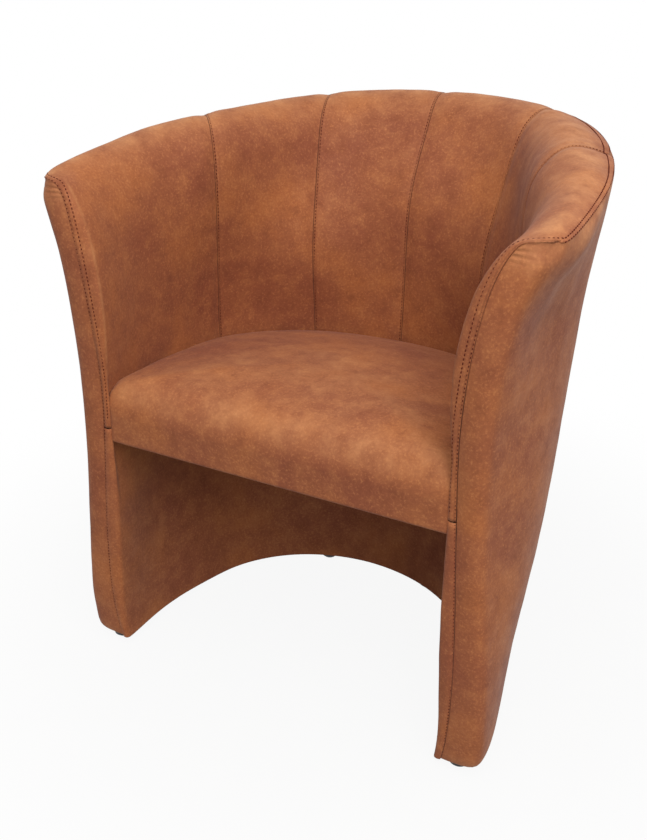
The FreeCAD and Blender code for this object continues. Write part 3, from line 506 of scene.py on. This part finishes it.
def grid_on(side, first, last, alongs, pitch, edge_steps=EDGE_STEPS):
    """Places of a piece between two edges, so that its columns keep their distance in mm."""
    fine = np.linspace(first, last, 240)
    lengths = []
    for along in alongs:
        line = side.at(fine, np.full_like(fine, along))
        steps = np.linalg.norm(np.diff(line, axis=0), axis=1)
        lengths.append(np.concatenate([[0], np.cumsum(steps)]))
    lengths = np.array(lengths)
    mean = lengths[:, -1].mean()
    shares = steps_from(edge_steps, mean, pitch)
    count = len(edge_steps)
    places = []
    from_first = []
    from_last = []
    for length in lengths:
        total = length[-1]
        inner = edge_steps[-1] + ((shares[count:-count] - edge_steps[-1])
                                  * (total - 2 * edge_steps[-1]) / (mean - 2 * edge_steps[-1]))
        across = np.concatenate([shares[:count], inner, total - shares[:count][::-1]])
        places.append(np.interp(across, length, fine))
        from_first.append(across)
        from_last.append(total - across)
    return np.array(places), np.array(from_first), np.array(from_last)


def waver(points, length, seed):
    """Smooth uneven field between about -1 and 1 whose swells are this many mm long."""
    chance = np.random.default_rng(seed)
    total = np.zeros(points.shape[:-1])
    for _ in range(9):
        way = chance.normal(size=3)
        way *= 2 * math.pi / (length * chance.uniform(0.7, 1.6)) / np.linalg.norm(way)
        total += np.cos(points @ way + chance.uniform(0, 2 * math.pi))
    return total / 4.0


def turned_in(distance, radius):
    """How far a folded edge curls away from the face, by the distance from the edge."""
    near = np.clip(radius - distance, 0, radius)
    return radius - np.sqrt(np.maximum(radius ** 2 - near ** 2, 0))


def ease(value, low, high):
    """Smooth step from nought at the low value to one at the high value."""
    t = np.clip((value - low) / (high - low), 0, 1)
    return t * t * (3 - 2 * t)


def lapped(distance):
    """How proud the folded upper piece of a lapped seam stands."""
    return LAP_PROUD * (1 - ease(distance, 5.5, 11))


ALLOWANCE = 4.5
TUCK = 0.4
TUCK_AT_FLOOR = 2.5
COLUMN_ENDS = [((slice(None), 0), (slice(None), 3)), ((slice(None), -1), (slice(None), -4))]
FIRST_ROW = ((0,), (3,))
LAST_ROW = ((-1,), (-4,))


def sheet_faces(points, into, depth, *ends):
    """Shown and hidden grid of a cover, whose outermost points are folded into the seams.

    Near the floor the two covers of a seam are folded past each other.
    """
    shift = np.zeros(points.shape)
    for end, near in ends:
        outward = points[end] - points[near]
        outward /= np.linalg.norm(outward, axis=-1, keepdims=True)
        tuck = TUCK + (TUCK_AT_FLOOR - TUCK) * (1 - ease(points[end][..., 2], 60, 110))
        shift[end] = into[end] * ALLOWANCE + outward * tuck[..., None]
    face = points + into * depth[..., None] + shift
    return face, face + into * HIDE_THICK


def padding_tree(*names):
    """Search tree over pieces that a cover lies on, in millimetres."""
    vertices = []
    faces = []
    for name in names:
        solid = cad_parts[name].data
        faces += [[k + len(vertices) for k in face.vertices] for face in solid.polygons]
        vertices += [vertex.co / MM for vertex in solid.vertices]
    return BVHTree.FromPolygons(vertices, faces)


LOOK_FROM = 14
LOOK_FAR = 30
LEAST_CLEAR = 0.7


def clear_of(padding, points, into, depth):
    """Depth of a cover, eased outward wherever the padding would come through it."""
    short = np.zeros(depth.shape)
    for spot in np.ndindex(depth.shape):
        way = Vector(into[spot])
        hit = padding.ray_cast(Vector(points[spot]) - way * LOOK_FROM, way, LOOK_FAR)
        if hit[0] is not None:
            short[spot] = max(0.0, depth[spot] + LEAST_CLEAR - (hit[3] - LOOK_FROM))
    for _ in range(2):
        wide = np.pad(short, 1, "edge")
        short = np.max([wide[i:i + short.shape[0], j:j + short.shape[1]]
                        for i in range(3) for j in range(3)], axis=0)
    for _ in range(3):
        wide = np.pad(short, 1, "edge")
        short = np.mean([wide[i:i + short.shape[0], j:j + short.shape[1]]
                         for i in range(3) for j in range(3)], axis=0)
    return depth - short


def make_object(name, points, faces, material):
    """Object in metres from points in millimetres, with its faces turned outward."""
    mesh = bpy.data.meshes.new(name)
    mesh.from_pydata((np.asarray(points) * MM).tolist(), [], faces)
    mesh.materials.append(material)
    work = bmesh.new()
    work.from_mesh(mesh)
    bmesh.ops.recalc_face_normals(work, faces=work.faces)
    work.to_mesh(mesh)
    work.free()
    for face in mesh.polygons:
        face.use_smooth = True
    made = bpy.data.objects.new(name, mesh)
    scene.collection.objects.link(made)
    return made


def mark(made, name, values):
    """Store at each point of a piece a share of wear and painted highlight, or of seam darkening and
    painted shade.
    """
    values = np.clip(np.ravel(values), 0, 1)
    both = np.resize(values, len(made.data.vertices)).astype(np.float32)
    made.data.attributes.new(name, "FLOAT", "POINT").data.foreach_set("value", both)


def hide_sheet(name, face, back, worn_and_highlit, seam_dirt_and_shade):
    """Closed sheet of hide between a shown grid of points and the one behind it."""
    rows, columns = face.shape[:2]
    size = rows * columns
    faces = []
    for i in range(rows - 1):
        for j in range(columns - 1):
            a, b, c, d = (i * columns + j, i * columns + j + 1,
                          (i + 1) * columns + j + 1, (i + 1) * columns + j)
            faces.append((a, b, c, d))
            faces.append((a + size, d + size, c + size, b + size))
    ring = list(range(columns))
    ring += [i * columns + columns - 1 for i in range(1, rows)]
    ring += [(rows - 1) * columns + j for j in range(columns - 2, -1, -1)]
    ring += [i * columns for i in range(rows - 2, 0, -1)]
    for a, b in zip(ring, ring[1:] + ring[:1]):
        faces.append((a, a + size, b + size, b))
    points = np.concatenate([face.reshape(-1, 3), back.reshape(-1, 3)])
    made = make_object(name, points, faces, hide)
    mark(made, "worn_and_highlit", worn_and_highlit)
    mark(made, "seam_dirt_and_shade", seam_dirt_and_shade)
    return made


inner_padding = padding_tree(
    "arm_foam_right", "arm_foam_left", "back_foam", "rim_roll_foam", "arm_nose_foam_right",
    "arm_nose_foam_left", "inner_upper_board", "inner_lower_board", "seat_level_rail",
    "arm_front_frame_left", "arm_front_frame_right", "top_rail")


def seam_valley(place):
    """How deep the back seams draw the face in."""
    nearest = np.min([np.abs(place - seam) for seam in BACK_SEAMS], axis=0)
    return VALLEY_DEEP * fading(nearest, VALLEY_REACH)


def puckers(along_seam, distance, seed):
    """Small gathers that the thread pulls in beside a seam."""
    chance = np.random.default_rng(seed)
    wave = np.zeros(np.broadcast(along_seam, distance).shape)
    for _ in range(4):
        wave = wave + np.sin(along_seam * 2 * math.pi / chance.uniform(9, 21)
                             + chance.uniform(0, 6.28))
    return wave * 0.07 * np.exp(-distance / 8.0)


def upper_at(first, place_edge):
    """Whether the piece that starts or ends at a seam is the folded upper one."""
    if place_edge in (FRONT_SEAM, 2 - FRONT_SEAM):
        return True
    towards_middle = (place_edge < 1) == first
    return towards_middle if place_edge != MIDDLE_SEAM else first


for number, (name, first, last) in enumerate(PANELS):
    steps = ARM_STEPS if "arm" in name else EDGE_STEPS
    places, from_first, from_last = grid_on(inside, first, last, panel_alongs, 4.5, steps)
    alongs = np.repeat(panel_alongs[:, None], places.shape[1], axis=1)
    points = inside.at(places, alongs)
    into = inside.into(places, alongs)
    from_rim = RIM - alongs
    depth = seam_valley(places)
    # Darker at the rim seam and beside the panel seams and topstitching: partly dark joins, partly
    # painted shade in the grooves.
    seam_dirt_and_shade = 0.5 * fading(from_rim, SEAM_SHADE_REACH)
    for edge, distance in ((first, from_first), (last, from_last)):
        upper = upper_at(edge == first, edge)
        at_front = edge in (PANELS[0][1], PANELS[-1][2])
        depth += turned_in(distance, 1.6 if upper and not at_front else 1.0)
        if upper:
            depth -= lapped(distance) * 0.8
            depth += 0.4 * fading(distance - TOPSTITCH, GROOVE_WIDE)
        if at_front:
            depth += THREAD_SINKS * fading(distance - SECOND_ROW, GROOVE_WIDE)
        depth += puckers(alongs, distance, 10 * number + (edge == first))
        strength = 0.25 if at_front else 0.5
        seam_dirt_and_shade = np.maximum(seam_dirt_and_shade, strength * fading(distance, SEAM_SHADE_REACH))
        if upper:
            seam_dirt_and_shade = np.maximum(seam_dirt_and_shade, 0.3 * fading(distance - TOPSTITCH, SEAM_SHADE_REACH))
    depth += turned_in(from_rim, 1.6) - lapped(from_rim) * 0.7
    row_on_rim = SECOND_ROW * WIDER_ON_RIM
    depth += THREAD_SINKS * fading(from_rim - row_on_rim, GROOVE_WIDE)
    depth += 0.3 * fading(from_rim - 1.6, GROOVE_WIDE)
    depth += puckers(places * 900, from_rim, 100 + number)
    depth += 0.45 * waver(points, 95, 3) + 0.16 * waver(points, 34, 4)
    # Paler along the crest of the rim and the inner front corner of each arm: partly wear, partly a
    # painted highlight; the thin light line on the corner is painted highlight.
    crest = fading(alongs - CREST, 42)
    front_edge = fading(np.minimum(places, 2 - places), 0.007)
    front_edge = front_edge * (1 - ease(alongs, 690, 730))
    worn_and_highlit = np.clip((0.7 * crest + 0.6 * front_edge) * (0.75 + 0.25 * waver(points, 60, 5)), 0, 1)
    depth = clear_of(inner_padding, points, into, depth)
    face, back = sheet_faces(points, into, depth, *COLUMN_ENDS, LAST_ROW)
    panel = hide_sheet(name + "_hide", face, back, worn_and_highlit, seam_dirt_and_shade)
    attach(panel, "root")
    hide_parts(name)

# Outside cover. One length of hide from the inner front seam of one arm, round the outside,
# to the other arm. It lies on thin wadding and fibreboard and is stapled under the edge. Small
# folds gather where the front seam of an arm bends towards the rim.

FLOOR_TURN = 690
GATHER_HEIGHT = 680
GATHER_PITCH = 6.8
GATHER_DEPTH = 1.25
GATHER_TALL = 10
GATHER_REACH = 22
SEAM_FADE = 16
SEAM_POINTS_UP = 1660
SEAM_POINTS_ROUND = 4000
outer_alongs = np.concatenate([
    [0.05, 0.05, 0.4, 0.9, 1.6, 2.4, 3.4], np.arange(5, 52, 1.6), np.arange(55, 660, 5.0),
    np.arange(662, 712, 2.5), [713.0]])
outer_first = NOSE_PLACES[0] + SEAM_GAP
places, from_first, from_last = grid_on(outside, outer_first, 2 - outer_first, outer_alongs, 6.0)
alongs = np.repeat(outer_alongs[:, None], places.shape[1], axis=1)
points = outside.at(places, alongs)
into = outside.into(places, alongs)
up_arm = inside.at(np.full(SEAM_POINTS_UP, FRONT_SEAM), np.linspace(0, RIM, SEAM_POINTS_UP))
round_rim = inside.at(np.linspace(FRONT_SEAM, 2 - FRONT_SEAM, SEAM_POINTS_ROUND),
                      np.full(SEAM_POINTS_ROUND, RIM))
seam_line = np.concatenate([up_arm, round_rim, up_arm * np.array([-1, 1, 1])])


def to_seam(spots):
    """Steps from some points to the nearest points of the seam."""
    nearest = [np.argmin(((seam_line - spot) ** 2).sum(axis=1)) for spot in spots]
    return seam_line[nearest] - spots


points = points + to_seam(points[0])[None] * fading(alongs, SEAM_FADE)[..., None]
for column, distance in ((0, from_first), (-1, from_last)):
    reach = fading(distance, SEAM_FADE) * (1 - ease(alongs, 694, 707))
    points = points + to_seam(points[:, column])[:, None] * reach[..., None]
edge = np.minimum(from_first, from_last)
depth = turned_in(alongs, 1.2) + 0.5 * (1 - ease(alongs, 2, 9))
depth += turned_in(edge, 0.8) + 0.3 * (1 - ease(edge, 2, 9))
depth += puckers(alongs, edge, 201) + puckers(places * 900, alongs, 202)
depth += 0.5 * waver(points, 120, 6) + 0.15 * waver(points, 40, 7)
nose = fading(points[..., 2] - GATHER_HEIGHT, GATHER_TALL) * ease(edge, 0, 3) * ease(alongs, 3, 9)
ridges = np.sin(alongs * 2 * math.pi / GATHER_PITCH + 0.06 * edge)
ridges = ridges * (0.6 + 0.4 * waver(points, 26, 17))
depth -= GATHER_DEPTH * nose * ridges * fading(edge, GATHER_REACH)
# Darker at the seams along its edges and at the rim: partly dark joins, partly painted shade.
seam_dirt_and_shade = np.maximum(0.25 * fading(edge, SEAM_SHADE_REACH), 0.5 * fading(alongs, SEAM_SHADE_REACH))
outer_padding = padding_tree(
    "outer_wadding", "outer_sheet", "base_rail", "arm_nose_foam_left", "arm_nose_foam_right",
    "rim_roll_foam", "arm_front_frame_left", "arm_front_frame_right")
depth = clear_of(outer_padding, points, into, depth)
# Paler at the top by the rim and at the turn under at the floor: partly wear, partly a painted
# highlight on these bends.
worn_and_highlit = 0.5 * fading(alongs, 30) + 0.35 * fading(alongs - FLOOR_TURN, 14)
worn_and_highlit = np.clip(worn_and_highlit * (0.7 + 0.3 * waver(points, 50, 8)), 0, 1)
face, back = sheet_faces(points, into, depth, *COLUMN_ENDS, FIRST_ROW)
outer_cover = hide_sheet("outer_cover_hide", face, back, worn_and_highlit, seam_dirt_and_shade)
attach(outer_cover, "root")
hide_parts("outer_cover")

# Lining. The same hide on the bare board below the seat, where it shows from the front. It is
# cut in one length, and its front edges are sewn to the outside cover.

lining_alongs = np.concatenate([[0.6, 2.0], np.arange(5, 330, 6.0), [336.0]])
places, from_first, from_last = grid_on(inside, FRONT_SEAM, 2 - FRONT_SEAM, lining_alongs, 7.0,
                                        ARM_STEPS)
alongs = np.repeat(lining_alongs[:, None], places.shape[1], axis=1)
points = inside.at(places, alongs)
into = inside.into(places, alongs)
edge = np.minimum(from_first, from_last)
depth = turned_in(edge, 1.0) - 0.7 * lapped(edge)
depth += puckers(alongs, edge, 301) + 0.35 * waver(points, 110, 9)
depth = clear_of(inner_padding, points, into, depth)
# Darker at its sewn front edges: partly dark joins, partly painted shade.
seam_dirt_and_shade = 0.25 * fading(edge, SEAM_SHADE_REACH)
face, back = sheet_faces(points, into, depth, *COLUMN_ENDS)
lining = hide_sheet("underseat_lining_hide", face, back, np.zeros_like(depth), seam_dirt_and_shade)
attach(lining, "root")
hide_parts("underseat_lining")

# Seat. A D-shaped cushion of foam on webbing and two plywood rings, with one piece of hide
# drawn over it and stapled underneath. It is tight between the arms and crowned.

SEAT_BOTTOM = 346.0
SEAT_EDGE = 398.0
SEAT_RISE = 26.0
SEAT_CROWN = 29.0
SEAT_FRONT = 6.0
FRONT_ROLL = 40.0
EDGE_CURL = 6.0
SEAT_PLAY = 0.6
FRONT_PLAY = 5.0
CORNER_RADIUS = 12.0
HEM = 25.0
MIDDLE_BACK = 190.0
SEAT_DEEP = 406.0
OUTLINE_POINTS = 204
seat_middle = np.array([0.0, FRONT_LINE + MIDDLE_BACK])
bare_inside = Side(INSIDE, [[seam] for seam in INSIDE_SEAM], [SEAM_PLACE])


def wall_at(places, z):
    """Points of the inside face at one height, below the crest."""
    alongs = np.arange(250, 620, 4.0)
    grid = bare_inside.at(np.repeat(places[:, None], len(alongs), axis=1),
                          np.repeat(alongs[None, :], len(places), axis=0))
    found = np.array([np.interp(z, line[:, 2], alongs) for line in grid])
    return bare_inside.at(places, found), bare_inside.into(places, found)


def seat_outline(z, inset):
    """Closed outline of the seat at a height, drawn in by an inset."""
    corner, away = wall_at(np.array([0.0]), z)
    corner = corner[0] - away[0] * FRONT_PLAY
    turn = np.array([corner[0] - CORNER_RADIUS, FRONT_LINE + SEAT_FRONT + CORNER_RADIUS])
    reach = CORNER_RADIUS - min(inset, CORNER_RADIUS - 3)
    side = inset - (CORNER_RADIUS - reach)
    half = [(turn[0] * share - side * share, turn[1] + side - reach)
            for share in np.linspace(0, 0.96, 30)]
    for angle in np.radians(np.linspace(-90, 0, 9)):
        half.append((turn[0] - side + reach * math.cos(angle),
                     turn[1] + side + reach * math.sin(angle)))
    places = np.linspace(0.07, 1.0, 64)
    wall, away = wall_at(places, z)
    near_front = np.clip((60 - (wall[:, 1] - FRONT_LINE)) / 54.0, 0, None)
    play = SEAT_PLAY + (FRONT_PLAY - SEAT_PLAY) * near_front ** 2 + inset
    wall = wall - away * play[:, None]
    half += [(x, y) for x, y in wall[:, :2]]
    return np.array(half + [(-x, y) for x, y in reversed(half[1:-1])])


def seat_height(y, share):
    """Height of the seat's top by the distance from the front and the share of its outline."""
    edge = SEAT_EDGE + SEAT_RISE * (SEAT_DEEP - y) / 336.0
    reach = np.clip(FRONT_ROLL - (y - SEAT_FRONT), 0, FRONT_ROLL)
    front = FRONT_ROLL - np.sqrt(FRONT_ROLL ** 2 - reach ** 2)
    curl = EDGE_CURL * np.clip((share - 0.93) / 0.07, 0, 1) ** 2 * np.clip((y - SEAT_FRONT) / 30, 0, 1)
    return edge + SEAT_CROWN * (1 - share ** 2.4) - front - curl


def seat_skin(inset):
    """Rings of the seat cover from its hem underneath to the middle of the top."""
    rings = [np.c_[seat_outline(SEAT_BOTTOM, hem), np.full(OUTLINE_POINTS, SEAT_BOTTOM + inset)]
             for hem in (HEM, 18.0, 10.0, 4.0)]
    for z in (SEAT_BOTTOM + 1.2, SEAT_BOTTOM + 4):
        fold = 0.9 if z < SEAT_BOTTOM + 2 else 0
        rings.append(np.c_[seat_outline(z, inset + fold), np.full(OUTLINE_POINTS, z)])
    for z in np.arange(352.0, 392.0, 5.0):
        rings.append(np.c_[seat_outline(z, inset), np.full(OUTLINE_POINTS, z)])
    rim = seat_outline(SEAT_BOTTOM + 50, inset)
    for share in (1, 0.992, 0.982, 0.97, 0.955, 0.94, 0.92, 0.9, 0.87, 0.84, 0.8, 0.75,
                  0.7, 0.64, 0.58, 0.52, 0.46, 0.4, 0.34, 0.28, 0.22, 0.16, 0.1, 0.05):
        flat = seat_middle + (rim - seat_middle) * share
        rings.append(np.c_[flat, seat_height(flat[:, 1] - FRONT_LINE, share) - inset])
    return rings


def closed_skin(shown, hidden, centres):
    """Points and faces of a skin with thickness, from its shown and hidden rings."""
    count = len(shown[0])
    layer = len(shown) * count
    around = [(k, (k + 1) % count) for k in range(count)]
    faces = []
    for side in (0, 1):
        for ring in range(len(shown) - 1):
            start = side * layer + ring * count
            faces += [(start + k, start + n, start + count + n, start + count + k)
                      for k, n in around]
        last = side * layer + layer - count
        faces += [(last + k, last + n, 2 * layer + side) for k, n in around]
    faces += [(k, layer + k, layer + n, n) for k, n in around]
    return np.concatenate(shown + hidden + [centres]), faces


top = float(seat_height(MIDDLE_BACK, 0.0))
points, faces = closed_skin(seat_skin(0.0), seat_skin(HIDE_THICK),
                            [[*seat_middle, top], [*seat_middle, top - HIDE_THICK]])
flat_y = points[:, 1] - FRONT_LINE
uneven = 0.9 * waver(points, 110, 11) + 0.3 * waver(points, 45, 12)
points[:, 2] += uneven * ease(points[:, 2], 395, 425)
seat = make_object("seat_cover_hide", points, faces, hide)
# Paler on the front roll and the crown of the seat: partly wear, partly a painted highlight.
front_edge = fading(flat_y - 22, 26) * ease(points[:, 2], 392, 415)
crown = ease(points[:, 2], 432, 446)
worn_and_highlit = np.clip(0.42 * front_edge + 0.3 * crown, 0, 1) * (0.7 + 0.3 * waver(points, 55, 13))
mark(seat, "worn_and_highlit", worn_and_highlit)
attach(seat, "root")
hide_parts("seat_cover")

# Dust cloth. A thin black non-woven cloth stapled flat under the seat frame. It sags a little
# in the middle and is drawn up between the staples.

DUST_INSET = 12.0
DUST_TOP = 345.8
DUST_THICK = 0.4
DUST_SHARES = (1, 0.97, 0.93, 0.86, 0.76, 0.64, 0.5, 0.35, 0.2, 0.08)
DUST_SAG = 2.2
DUST_SLACK = 0.4
STAPLES = 24
STAPLE_PULL = 2.8
MAT_MM = 1.43
DIMPLE_MM = 1.54
cut = seat_outline(SEAT_BOTTOM, DUST_INSET)
staple_wave = np.sin(np.arange(len(cut)) * 2 * math.pi * STAPLES / len(cut))


def dust_rings(top):
    """Rings of one face of the cloth, from its edge to near the middle."""
    rings = []
    for share in DUST_SHARES:
        flat = seat_middle + (cut - seat_middle) * share
        pulled = STAPLE_PULL * staple_wave * ease(share, 0.6, 0.97) * (1 - share)
        rings.append(np.c_[flat, top - DUST_SAG * (1 - share ** 2) - DUST_SLACK + pulled])
    return rings


lowest = DUST_TOP - DUST_SAG - DUST_SLACK
points, faces = closed_skin(dust_rings(DUST_TOP), dust_rings(DUST_TOP - DUST_THICK),
                            [[*seat_middle, lowest], [*seat_middle, lowest - DUST_THICK]])

# Spun-bonded polypropylene: black and dull, with the fine dimples of the bonding roll.

nonwoven, tree = new_material("black_nonwoven_polypropylene")
place = add(tree, "ShaderNodeTexCoord").outputs["Object"]
mat = add(tree, "ShaderNodeTexNoise",
          inputs={"Vector": place, "Scale": pattern_scale(MAT_MM), "Detail": 6.0, "Roughness": 0.7})
dots = add(tree, "ShaderNodeTexVoronoi",
           inputs={"Vector": place, "Scale": pattern_scale(DIMPLE_MM), "Randomness": 0.15})
tone = add(tree, "ShaderNodeMix", {"data_type": "RGBA"},
           {0: mat.outputs[0], 6: linear("#131315"), 7: linear("#35353a")})
relief = add(tree, "ShaderNodeBump",
             inputs={"Strength": 0.6, "Distance": 0.0003, "Height": dots.outputs[0]})
surface = add(tree, "ShaderNodeBsdfPrincipled",
              inputs={"Base Color": tone.outputs[2], "Roughness": 0.88, "Normal": relief.outputs[0]})
add(tree, "ShaderNodeOutputMaterial", inputs={"Surface": surface.outputs[0]})
dust = make_object("dust_cloth_sheet", points, faces, nonwoven)
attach(dust, "root")
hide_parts("dust_cloth")


def finish_nodes(material, *names):
    """Give some carried-over nodes a material."""
    for name in names:
        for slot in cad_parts[name].material_slots:
            slot.material = material


finish_nodes(nonwoven, "dust_cloth")

# Thread. Dark brown polyester, five stitches to 25 mm, matt so that it reads as small dark dots.
# It runs beside every back seam, and in two rows up the front of each arm and along the rim:
# 7 mm apart on the arm and a little further along the rim.

PLY_MM = 0.385
thread, tree = new_material("brown_polyester_thread")
place = add(tree, "ShaderNodeTexCoord").outputs["Object"]
ply = add(tree, "ShaderNodeTexNoise",
          inputs={"Vector": place, "Scale": pattern_scale(PLY_MM), "Detail": 2.0})
tone = add(tree, "ShaderNodeMix", {"data_type": "RGBA"},
           {0: ply.outputs[0], 6: linear("#43160d"), 7: linear("#5e2416")})
surface = add(tree, "ShaderNodeBsdfPrincipled",
              inputs={"Base Color": tone.outputs[2], "Roughness": 0.75, "IOR": 1.5,
                      "Specular IOR Level": 0.12})
add(tree, "ShaderNodeOutputMaterial", inputs={"Surface": surface.outputs[0]})

STITCH_PITCH = 5.0
STITCH_LENGTH = 3.0
STITCH_WIDE = 1.55
STITCH_SIDES = 6
STITCH_SHAPE = [(-0.5, 0.45), (-0.3, 0.9), (0.0, 1.0), (0.3, 0.9), (0.5, 0.45)]


def stitch_row(points, into):
    """Short raised stitches along a line on a face."""
    steps = np.linalg.norm(np.diff(points, axis=0), axis=1)
    length = np.concatenate([[0], np.cumsum(steps)])
    spots = np.arange(STITCH_PITCH, length[-1] - STITCH_PITCH, STITCH_PITCH)
    vertices = []
    faces = []
    for spot in spots:
        here = np.array([np.interp(spot, length, points[:, k]) for k in range(3)])
        before = np.array([np.interp(spot - 1.5, length, points[:, k]) for k in range(3)])
        after = np.array([np.interp(spot + 1.5, length, points[:, k]) for k in range(3)])
        inward = np.array([np.interp(spot, length, into[:, k]) for k in range(3)])
        ahead = (after - before) / np.linalg.norm(after - before)
        across = np.cross(ahead, inward)
        across /= np.linalg.norm(across)
        start = len(vertices)
        for share, wide in STITCH_SHAPE:
            middle = here + ahead * share * STITCH_LENGTH + inward * (0.1 + 1.6 * share * share)
            for side in range(STITCH_SIDES):
                turn = 2 * math.pi * side / STITCH_SIDES
                vertices.append(middle + (across * math.cos(turn) + inward * math.sin(turn))
                                * wide * STITCH_WIDE / 2)
        for ring in range(len(STITCH_SHAPE) - 1):
            for side in range(STITCH_SIDES):
                a = start + ring * STITCH_SIDES + side
                b = start + ring * STITCH_SIDES + (side + 1) % STITCH_SIDES
                faces.append((a, b, b + STITCH_SIDES, a + STITCH_SIDES))
        faces.append(tuple(start + side for side in range(STITCH_SIDES)))
        end = start + (len(STITCH_SHAPE) - 1) * STITCH_SIDES
        faces.append(tuple(end + side for side in reversed(range(STITCH_SIDES))))
    return vertices, faces


def sew(name, points, into):
    """Piece of thread: all the stitches of one row."""
    vertices, faces = stitch_row(points, into)
    made = make_object(name, vertices, faces, thread)
    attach(made, "root")


def beside(edge, distance, alongs, sign):
    """Line on the inside face at a distance from an upright edge."""
    step = inside.at(edge + sign * 0.02, alongs) - inside.at(edge, alongs)
    per_place = np.linalg.norm(step, axis=-1) / 0.02
    return edge + sign * distance / per_place


SEAM_LABELS = ["arm_right", "quarter_right", "middle", "quarter_left", "arm_left"]
SEAM_ROW = 1.1
for seam, label in zip(BACK_SEAMS, SEAM_LABELS):
    alongs = np.arange(390, 828, 2.0)
    sign = 1 if seam <= 1 else -1
    places = beside(seam, TOPSTITCH, alongs, sign)
    into = inside.into(places, alongs)
    depth = seam_valley(places) - 0.8 * LAP_PROUD + THREAD_SINKS
    sew("topstitch_" + label, inside.at(places, alongs) + into * depth[:, None], into)


def edge_row(distance, lift, first_along):
    """Row of stitches up one arm front, round the rim and down the other arm front."""
    alongs = np.arange(first_along, RIM - distance * WIDER_ON_RIM - 3, 2.0)
    rising = beside(FRONT_SEAM, distance, alongs, 1)
    top = np.arange(rising[-1] + 0.006, 2 - rising[-1] - 0.006, 0.004)
    places = np.concatenate([rising, top, 2 - rising[::-1]])
    on_rim = np.full(len(top), RIM - distance * WIDER_ON_RIM)
    heights = np.concatenate([alongs, on_rim, alongs[::-1]])
    into = inside.into(places, heights)
    dip = np.where(heights > 395, seam_valley(places), 0)
    return inside.at(places, heights) + into * (dip + lift)[:, None], into


sew("seam_stitches", *edge_row(SEAM_ROW, -0.35, 12))
sew("second_row_stitches", *edge_row(SECOND_ROW, -0.3, 345))

# Padding. Cut polyurethane foam, glued to boards and frame, is cream and open-celled. The outer
# sheet carries thin needled polyester wadding, white and fluffy. Neither shows from outside.


def plain_surface(name, dark, light, size_mm, roughness, stretch=(1, 1, 1), bump=0.3,
                  metallic=0.0):
    """Uneven material in two tones, whose marks are this many mm across."""
    material, tree = new_material(name)
    place = add(tree, "ShaderNodeTexCoord").outputs["Object"]
    scaled = add(tree, "ShaderNodeMapping", inputs={"Vector": place, "Scale": stretch})
    marks = add(tree, "ShaderNodeTexNoise",
                inputs={"Vector": scaled.outputs[0], "Scale": pattern_scale(size_mm),
                        "Detail": 6.0, "Roughness": 0.62})
    sharp = add(tree, "ShaderNodeMapRange",
                inputs={0: marks.outputs[0], 1: 0.3, 2: 0.7, 3: 0.0, 4: 1.0})
    tone = add(tree, "ShaderNodeMix", {"data_type": "RGBA"},
               {0: sharp.outputs[0], 6: linear(dark), 7: linear(light)})
    relief = add(tree, "ShaderNodeBump",
                 inputs={"Strength": bump, "Distance": size_mm * 0.0002,
                         "Height": marks.outputs[0]})
    surface = add(tree, "ShaderNodeBsdfPrincipled",
                  inputs={"Base Color": tone.outputs[2], "Roughness": roughness,
                          "Metallic": metallic, "Normal": relief.outputs[0]})
    add(tree, "ShaderNodeOutputMaterial", inputs={"Surface": surface.outputs[0]})
    return material


foam = plain_surface("cut_polyurethane_foam", "#d9cf9e", "#efe6bd", 1.6, 0.95, bump=0.8)
wadding = plain_surface("needled_polyester_wadding", "#e2e0da", "#f7f6f2", 6.0, 0.95, bump=0.8)
finish_nodes(foam, "seat_foam", "back_foam", "arm_foam_left", "arm_foam_right",
             "arm_nose_foam_left", "arm_nose_foam_right", "rim_roll_foam")
finish_nodes(wadding, "outer_wadding")

# Frame. Bent sheets of pressed fibreboard, brown and dull, on rails, arm fronts and seat rings
# of sawn birch plywood and studs of sawn beech, both pale with a drawn-out grain. Glued and
# stapled together, they don't show from outside.

fibreboard = plain_surface("pressed_fibreboard", "#6d4a2c", "#8d6640", 1.2, 0.75)
plywood = plain_surface("sawn_birch_plywood", "#c49a66", "#dcba88", 7.0, 0.55, stretch=(0.12, 1, 1))
timber = plain_surface("sawn_beech", "#c59a63", "#e0bf8d", 9.0, 0.6, stretch=(1, 1, 0.1))
finish_nodes(fibreboard, "outer_sheet", "inner_lower_board", "inner_upper_board")
finish_nodes(plywood, "base_rail", "seat_level_rail", "top_rail", "arm_front_frame_left",
             "arm_front_frame_right", "seat_ring_lower", "seat_ring_upper")
finish_nodes(timber, *[f"{level}_stud_{where}_{hand}" for level in ("lower", "upper")
                       for where in ("side", "back") for hand in ("left", "right")])

# Webbing and bolts. Woven elastic webbing, dark and ribbed, is stretched over the seat ring and
# stapled. Four zinc-plated steel bolts with a soft shine hold the seat to the shell.

webbing = plain_surface("woven_elastic_webbing", "#2c2620", "#5b4c3b", 2.2, 0.85,
                        stretch=(1, 0.3, 1), bump=0.9)
steel = plain_surface("zinc_plated_steel", "#8f9396", "#b9bcbe", 12.0, 0.35, metallic=1.0)
finish_nodes(webbing, *[f"webbing_strap_{k}" for k in range(1, 6)])
finish_nodes(steel, "seat_bolts")

# Glides. Four black nylon buttons with a steel nail moulded in, hammered into the base. The
# moulded nylon is smooth and shines a little.

nylon = plain_surface("moulded_black_nylon", "#0c0c0d", "#1b1b1c", 3.0, 0.42, bump=0.12)
finish_nodes(nylon, "glides")
